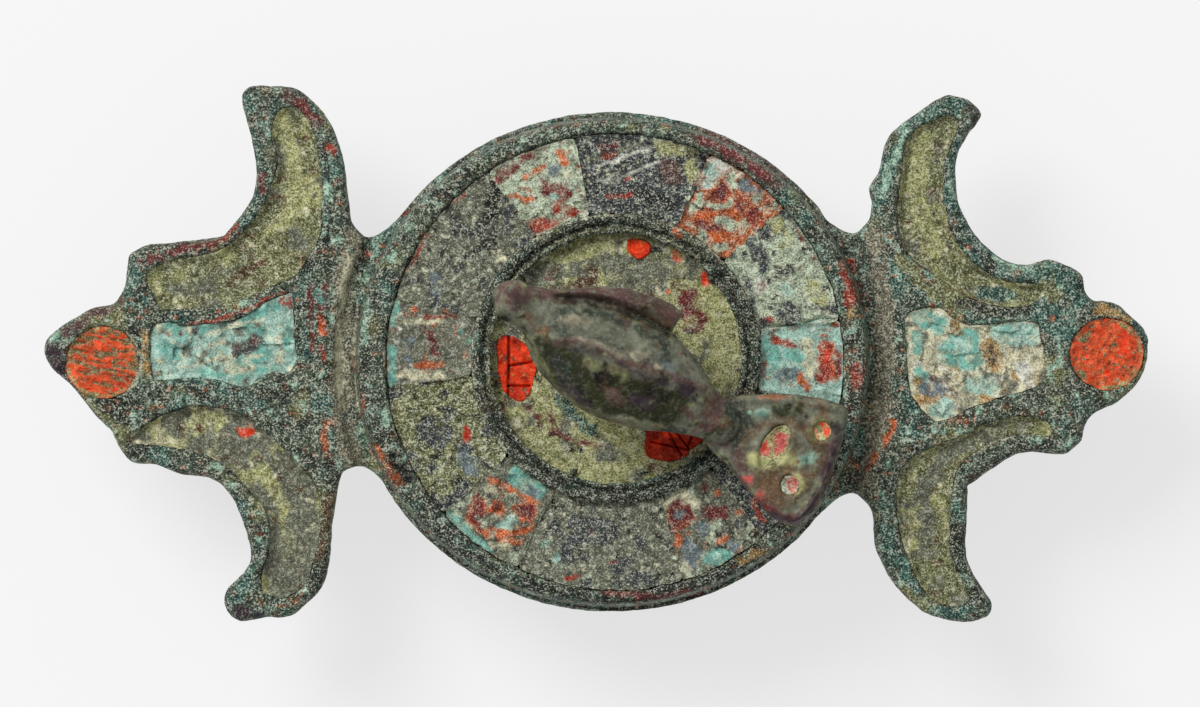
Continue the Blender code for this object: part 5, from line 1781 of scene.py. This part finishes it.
def bird_solid(settings):
    """Body, wings, tail and rivet melted into one skin, then ridged, grooved and worn."""
    foot, head = (*DISC_CENTRE, span("bird")[0][2]), (*DISC_CENTRE, DISC_TOP + RIVET_REACH)
    rivet = rod(foot, head, ((0, RIVET_RADIUS), (RIVET_LENGTH, RIVET_RADIUS * RIVET_TAPER)))
    parts = [bird_loft(BIRD_BODY), bird_loft(BIRD_WING_NEAR), bird_loft(BIRD_WING_FAR), tail_fan(), rivet]
    points, faces = melted(parts, settings.voxel / MM, SKIN_SMOOTHING)
    normals = normals_of(points, faces)
    high = smooth_step(points[:, 2], TAIL_TOP + CARVED_FROM, TAIL_TOP + CARVED_TO)
    upper = np.clip(normals[:, 2] * CARVED_SLOPE, 0, 1) * high
    points[:, 2] += relief(points, BIRD_RELIEF) * upper * settings.carving
    points += normals * layered(points, BIRD_WAVES, 61)[:, None]
    return points, faces


# Hinge

# Distance from the hinge and radius, along the pin, and the pin's rings
PIN_STATIONS = ((1.0, 0.60), (2.4, 0.50), (20.5, 0.50), (23.5, 0.36), (25.6, 0.2), (26.3, 0.11), (26.5, 0.05))
PIN_RINGS = 120
EYE_RADIUS = 1.4
EYE_WIDTH = 2.2
EYE_ROUND = 0.15
EYE_AROUND = 72
AXLE_AROUND = 32
# The axle's domed ends: depth in from the end, and share of the radius there
AXLE_END = 0.1
AXLE_SHOULDER = (0.03, 0.7)
AXLE_DOME = 0.12
HINGE_MOTTLES = (
    ("bronze_dark", 0.9, 0.35), ("brown", 0.7, 0.2), ("teal", 0.6, 0.15), ("purple_brown", 0.9, 0.15),
)


def turned_ring(bore, radius, width, soft):
    """A ring about the hinge's axis: a rounded oblong section turned round Y."""
    half = width / 2
    section = np.array([
        (bore, -half + soft), (bore + soft, -half), (radius - soft, -half), (radius, -half + soft),
        (radius, half - soft), (radius - soft, half), (bore + soft, half), (bore, half - soft),
    ])
    section = resampled(section, EDGE_STEP, curved=False)
    turn = np.arange(EYE_AROUND) * 2 * math.pi / EYE_AROUND
    x = HINGE[0] + section[:, 0] * np.cos(turn)[:, None]
    z = HINGE[2] + section[:, 0] * np.sin(turn)[:, None]
    points = np.stack([x, np.broadcast_to(section[:, 1], x.shape), z], -1).reshape(-1, 3)
    return facing_out(points, net(EYE_AROUND, len(section), closed=True))


def pin_solid():
    """The eye and the tapered shank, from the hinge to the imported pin's far corner."""
    high = span("pin")[1]
    axle = span("hinge_axle")
    bore = (axle[1][0] - axle[0][0]) / 2 + GLASS_GAP
    tip = np.array([high[0], high[1] - PIN_STATIONS[-1][1], HINGE[2]])
    distance, radius = eased(PIN_STATIONS, PIN_RINGS).T
    keep = np.concatenate([[True], np.diff(np.maximum.accumulate(distance)) > LEAST_GAP])
    stations = np.stack([distance[keep], radius[keep]], 1)
    shank = rod((HINGE[0], 0, HINGE[2]), tip, stations)
    return fused(turned_ring(bore, EYE_RADIUS, EYE_WIDTH, EYE_ROUND), [shank])


def axle_solid():
    """The axle, with slightly domed ends flush with the lugs."""
    low, high = span("hinge_axle")
    radius = (high[0] - low[0]) / 2
    length = high[1] - low[1]
    depth, share = AXLE_SHOULDER
    start = ((0, AXLE_END), (depth, radius * share), (AXLE_DOME, radius))
    stations = start + ((length - AXLE_DOME, radius), (length - depth, radius * share), (length, AXLE_END))
    return rod((HINGE[0], low[1], HINGE[2]), (HINGE[0], high[1], HINGE[2]), stations, AXLE_AROUND)


# Settings that a user would change

def measure(name, description, default, least=0.0):
    """A setting in millimetres."""
    return FloatProperty(name=name, description=f"{description}, in millimetres", default=default, min=least)


class BroochTones(bpy.types.PropertyGroup):
    """Every tone's colour."""

    __annotations__ = {
        key: FloatVectorProperty(
            name=label,
            description=f"Colour of the tone called {label.lower()}",
            default=tuple(linear(value) for value in colour),
            subtype="COLOR",
            min=0.0,
            max=1.0,
        )
        for key, (label, colour, _grain, _gloss) in TONES.items()
    }


class PlateSettings(bpy.types.PropertyGroup):
    """Wear of the casting, in millimetres."""

    erosion: measure("Erosion", "Height of the casting's wear", 0.045)
    edge_round: measure("Edge round", "Radius of the arms' edges", 0.42)
    cell_round: measure("Cell round", "Radius of the cells' edges", 0.16)
    grain: measure("Grain", "Size of the patina's grains", 0.09, 0.01)


class InlaySettings(bpy.types.PropertyGroup):
    """Fineness of the glass and enamel."""

    step: measure("Step", "Mesh spacing of the inlays", 0.085, 0.03)
    grain: measure("Grain", "Size of the glass's grains", 0.085, 0.01)


class BirdSettings(bpy.types.PropertyGroup):
    """Fineness and carving of the bird."""

    voxel: FloatProperty(
        name="Voxel",
        description="Mesh spacing of the skin",
        default=0.000065,
        unit="LENGTH",
        precision=6,
    )
    carving: FloatProperty(
        name="Carving",
        description="Share of the ridge's and grooves' full depth",
        default=1.0,
        min=0,
    )
    grain: measure("Grain", "Size of the patina's grains", 0.16, 0.01)


class StageSettings(bpy.types.PropertyGroup):
    """Camera, floor and light."""

    camera_height: FloatProperty(
        name="Camera height",
        description="From the arms' top",
        default=1.0,
        unit="LENGTH",
    )
    key_power: FloatProperty(
        name="Key light",
        description="Power of the large light",
        default=6.0,
        unit="POWER",
    )
    sky: FloatProperty(name="Sky", description="Light from all round", default=0.5, min=0)
    floor_colour: FloatVectorProperty(
        name="Floor",
        description="Colour of the pale floor",
        default=(0.22, 0.22, 0.22),
        subtype="COLOR",
    )
    floor_glow: FloatProperty(
        name="Floor glow",
        description="Light that the floor gives off, as a light table",
        default=0.68,
    )


# Operators

# The tail enamel's grain and the red spots' mesh spacing, as shares of the bird's and the inlays' own
TAIL_GRAIN = 0.6
SPOT_FINENESS = 0.45
BIRD_SOFTNESS = 6.0
HINGE_GRAIN = 0.12
# The stage, in metres
FLOOR_REACH = 4.0
LAMP_PLACE = (-0.38, 0.42, 0.62)
LAMP_SIZE = 0.4
SENSOR = 36.0
CLIP_NEAR, CLIP_FAR = 0.05, 20.0
WHITE = (1.0, 1.0, 1.0, 1.0)


class BROOCH_OT_plate(bpy.types.Operator):
    """Cast the plate with its rims, ring, lugs and catch"""

    bl_idname = "brooch.plate"
    bl_label = "Cast plate"

    def execute(self, context):
        settings = context.scene.brooch_plate
        solid = plate_solid(settings)
        tones = painted(solid, "bronze", PLATE_MOTTLES, PLATE_STROKES, 71)
        bronze = weathered("patinated_bronze", settings.grain)
        new_piece("plate_casting", solid, tones, bronze, ["plate"])
        return {"FINISHED"}


class BROOCH_OT_arm_inlays(bpy.types.Operator):
    """Fill the arms' cells with enamel and glass"""

    bl_idname = "brooch.arm_inlays"
    bl_label = "Arm inlays"

    def execute(self, context):
        settings = context.scene.brooch_inlays
        finishes = {
            "horn": ("horn_enamel", weathered("horn_enamel", settings.grain)),
            "turquoise": ("turquoise_glass", weathered("turquoise_glass", settings.grain)),
            "terminal": ("red_enamel", weathered("terminal_enamel", settings.grain)),
        }
        for node in ARM_CELLS:
            slot, material = finishes[node.split("_")[0]]
            make_inlay(node, material, settings.step)
        return {"FINISHED"}


class BROOCH_OT_ring_glass(bpy.types.Operator):
    """Set the six chequered blocks and the six fields of the outer ring"""

    bl_idname = "brooch.ring_glass"
    bl_label = "Ring glass"

    def execute(self, context):
        settings = context.scene.brooch_inlays
        finishes = {
            "chequer": ("chequer_glass", weathered("chequer_glass", settings.grain)),
            "field": ("field_glass", weathered("field_glass", settings.grain)),
        }
        for node in GLASS:
            kind = node.split("_")[0]
            if kind in finishes:
                slot, material = finishes[kind]
                make_inlay(node, material, settings.step, curved=False)
        return {"FINISHED"}


class BROOCH_OT_middle(bpy.types.Operator):
    """Fill the ring's middle with pale enamel and its red spots"""

    bl_idname = "brooch.middle"
    bl_label = "Middle enamel"

    def execute(self, context):
        settings = context.scene.brooch_inlays
        pale = weathered("middle_enamel", settings.grain)
        red = weathered("red_enamel", settings.grain)
        make_inlay("middle_field", pale, settings.step)
        for node in RED_SPOTS:
            make_inlay(node, red, settings.step * SPOT_FINENESS)
        return {"FINISHED"}


class BROOCH_OT_bird(bpy.types.Operator):
    """Cast the bird with its tail and rivet, and fill the tail's cells"""

    bl_idname = "brooch.bird"
    bl_label = "Bird"

    def execute(self, context):
        settings = context.scene.brooch_bird
        solid = bird_solid(settings)
        tones = painted(solid, "grey_olive", BIRD_MOTTLES, BIRD_STROKES, 81, BIRD_SOFTNESS)
        bronze = weathered("dark_bronze", settings.grain)
        new_piece("bird_casting", solid, tones, bronze, ["bird"])
        glass = weathered("tail_enamel", settings.grain * TAIL_GRAIN)
        for node in TAIL_CELLS:
            make_inlay(node, glass, settings.voxel / MM)
        return {"FINISHED"}


class BROOCH_OT_hinge(bpy.types.Operator):
    """Make the pin and the axle it turns on"""

    bl_idname = "brooch.hinge"
    bl_label = "Pin and axle"

    def execute(self, context):
        bronze = weathered("hinge_bronze", HINGE_GRAIN)
        for name, node, solid, body in (
            ("pin_shank", "pin", pin_solid(), "pin"),
            ("axle_rod", "hinge_axle", axle_solid(), "brooch"),
        ):
            tones = painted(solid, "bronze", HINGE_MOTTLES, (), 91)
            new_piece(name, solid, tones, bronze, [node], body)
        return {"FINISHED"}


class BROOCH_OT_stage(bpy.types.Operator):
    """Lay a plain pale floor and set up the light and the camera"""

    bl_idname = "brooch.stage"
    bl_label = "Stage"

    def execute(self, context):
        settings = context.scene.brooch_stage
        scene = context.scene
        reach = FLOOR_REACH
        corners = [(-reach, -reach, 0), (reach, -reach, 0), (reach, reach, 0), (-reach, reach, 0)]
        mesh = bpy.data.meshes.new("floor")
        mesh.from_pydata(corners, [], [(0, 1, 2, 3)])
        floor = bpy.data.objects.new("floor", mesh)
        scene.collection.objects.link(floor)
        shading = Shading("floor_paper")
        mesh.materials.append(shading.finish({
            "Base Color": (*settings.floor_colour, 1.0),
            "Roughness": 1.0,
            "Specular IOR Level": 0.0,
            "Emission Color": WHITE,
            "Emission Strength": settings.floor_glow,
        }))

        world = bpy.data.worlds.new("studio")
        world.use_nodes = True
        background = world.node_tree.nodes["Background"]
        background.inputs["Color"].default_value = WHITE
        background.inputs["Strength"].default_value = settings.sky
        scene.world = world
        scene.view_settings.view_transform = "Standard"

        key = bpy.data.lights.new("key", "AREA")
        key.energy = settings.key_power
        key.size = LAMP_SIZE
        lamp = bpy.data.objects.new("key", key)
        lamp.location = LAMP_PLACE
        lamp.rotation_euler = (-Vector(lamp.location)).to_track_quat("-Z", "Y").to_euler()
        scene.collection.objects.link(lamp)

        lens = bpy.data.cameras.new("camera")
        lens.sensor_width = SENSOR
        width = PHOTO_WIDTH * PIXEL * MM
        lens.lens = lens.sensor_width * settings.camera_height / width
        lens.clip_start = CLIP_NEAR
        lens.clip_end = CLIP_FAR
        camera = bpy.data.objects.new("camera", lens)
        middle = on_brooch(PHOTO_MIDDLE) * MM
        camera.location = (middle[0], middle[1], settings.camera_height + ARM_TOP * MM)
        scene.collection.objects.link(camera)
        scene.camera = camera
        return {"FINISHED"}


STEPS = (
    BROOCH_OT_plate,
    BROOCH_OT_arm_inlays,
    BROOCH_OT_ring_glass,
    BROOCH_OT_middle,
    BROOCH_OT_bird,
    BROOCH_OT_hinge,
    BROOCH_OT_stage,
)
SETTINGS = {
    "brooch_tones": BroochTones,
    "brooch_plate": PlateSettings,
    "brooch_inlays": InlaySettings,
    "brooch_bird": BirdSettings,
    "brooch_stage": StageSettings,
}


class BROOCH_PT_panel(bpy.types.Panel):
    """Lists the brooch's settings and steps"""

    bl_idname = "BROOCH_PT_panel"
    bl_label = "Enamelled brooch"
    bl_space_type = "VIEW_3D"
    bl_region_type = "UI"
    bl_category = "Brooch"

    def draw(self, context):
        for name, group in SETTINGS.items():
            for key in group.__annotations__:
                self.layout.prop(getattr(context.scene, name), key)
        for step in STEPS:
            self.layout.operator(step.bl_idname)


def register():
    for name, group in SETTINGS.items():
        bpy.utils.register_class(group)
        setattr(bpy.types.Scene, name, PointerProperty(type=group))
    for kind in (*STEPS, BROOCH_PT_panel):
        bpy.utils.register_class(kind)


def unregister():
    for kind in (BROOCH_PT_panel, *reversed(STEPS)):
        bpy.utils.unregister_class(kind)
    for name, group in SETTINGS.items():
        delattr(bpy.types.Scene, name)
        bpy.utils.unregister_class(group)


def main():
    register()
    for step in STEPS:
        group, name = step.bl_idname.split(".")
        getattr(getattr(bpy.ops, group), name)()


if __name__ == "__main__":
    main()
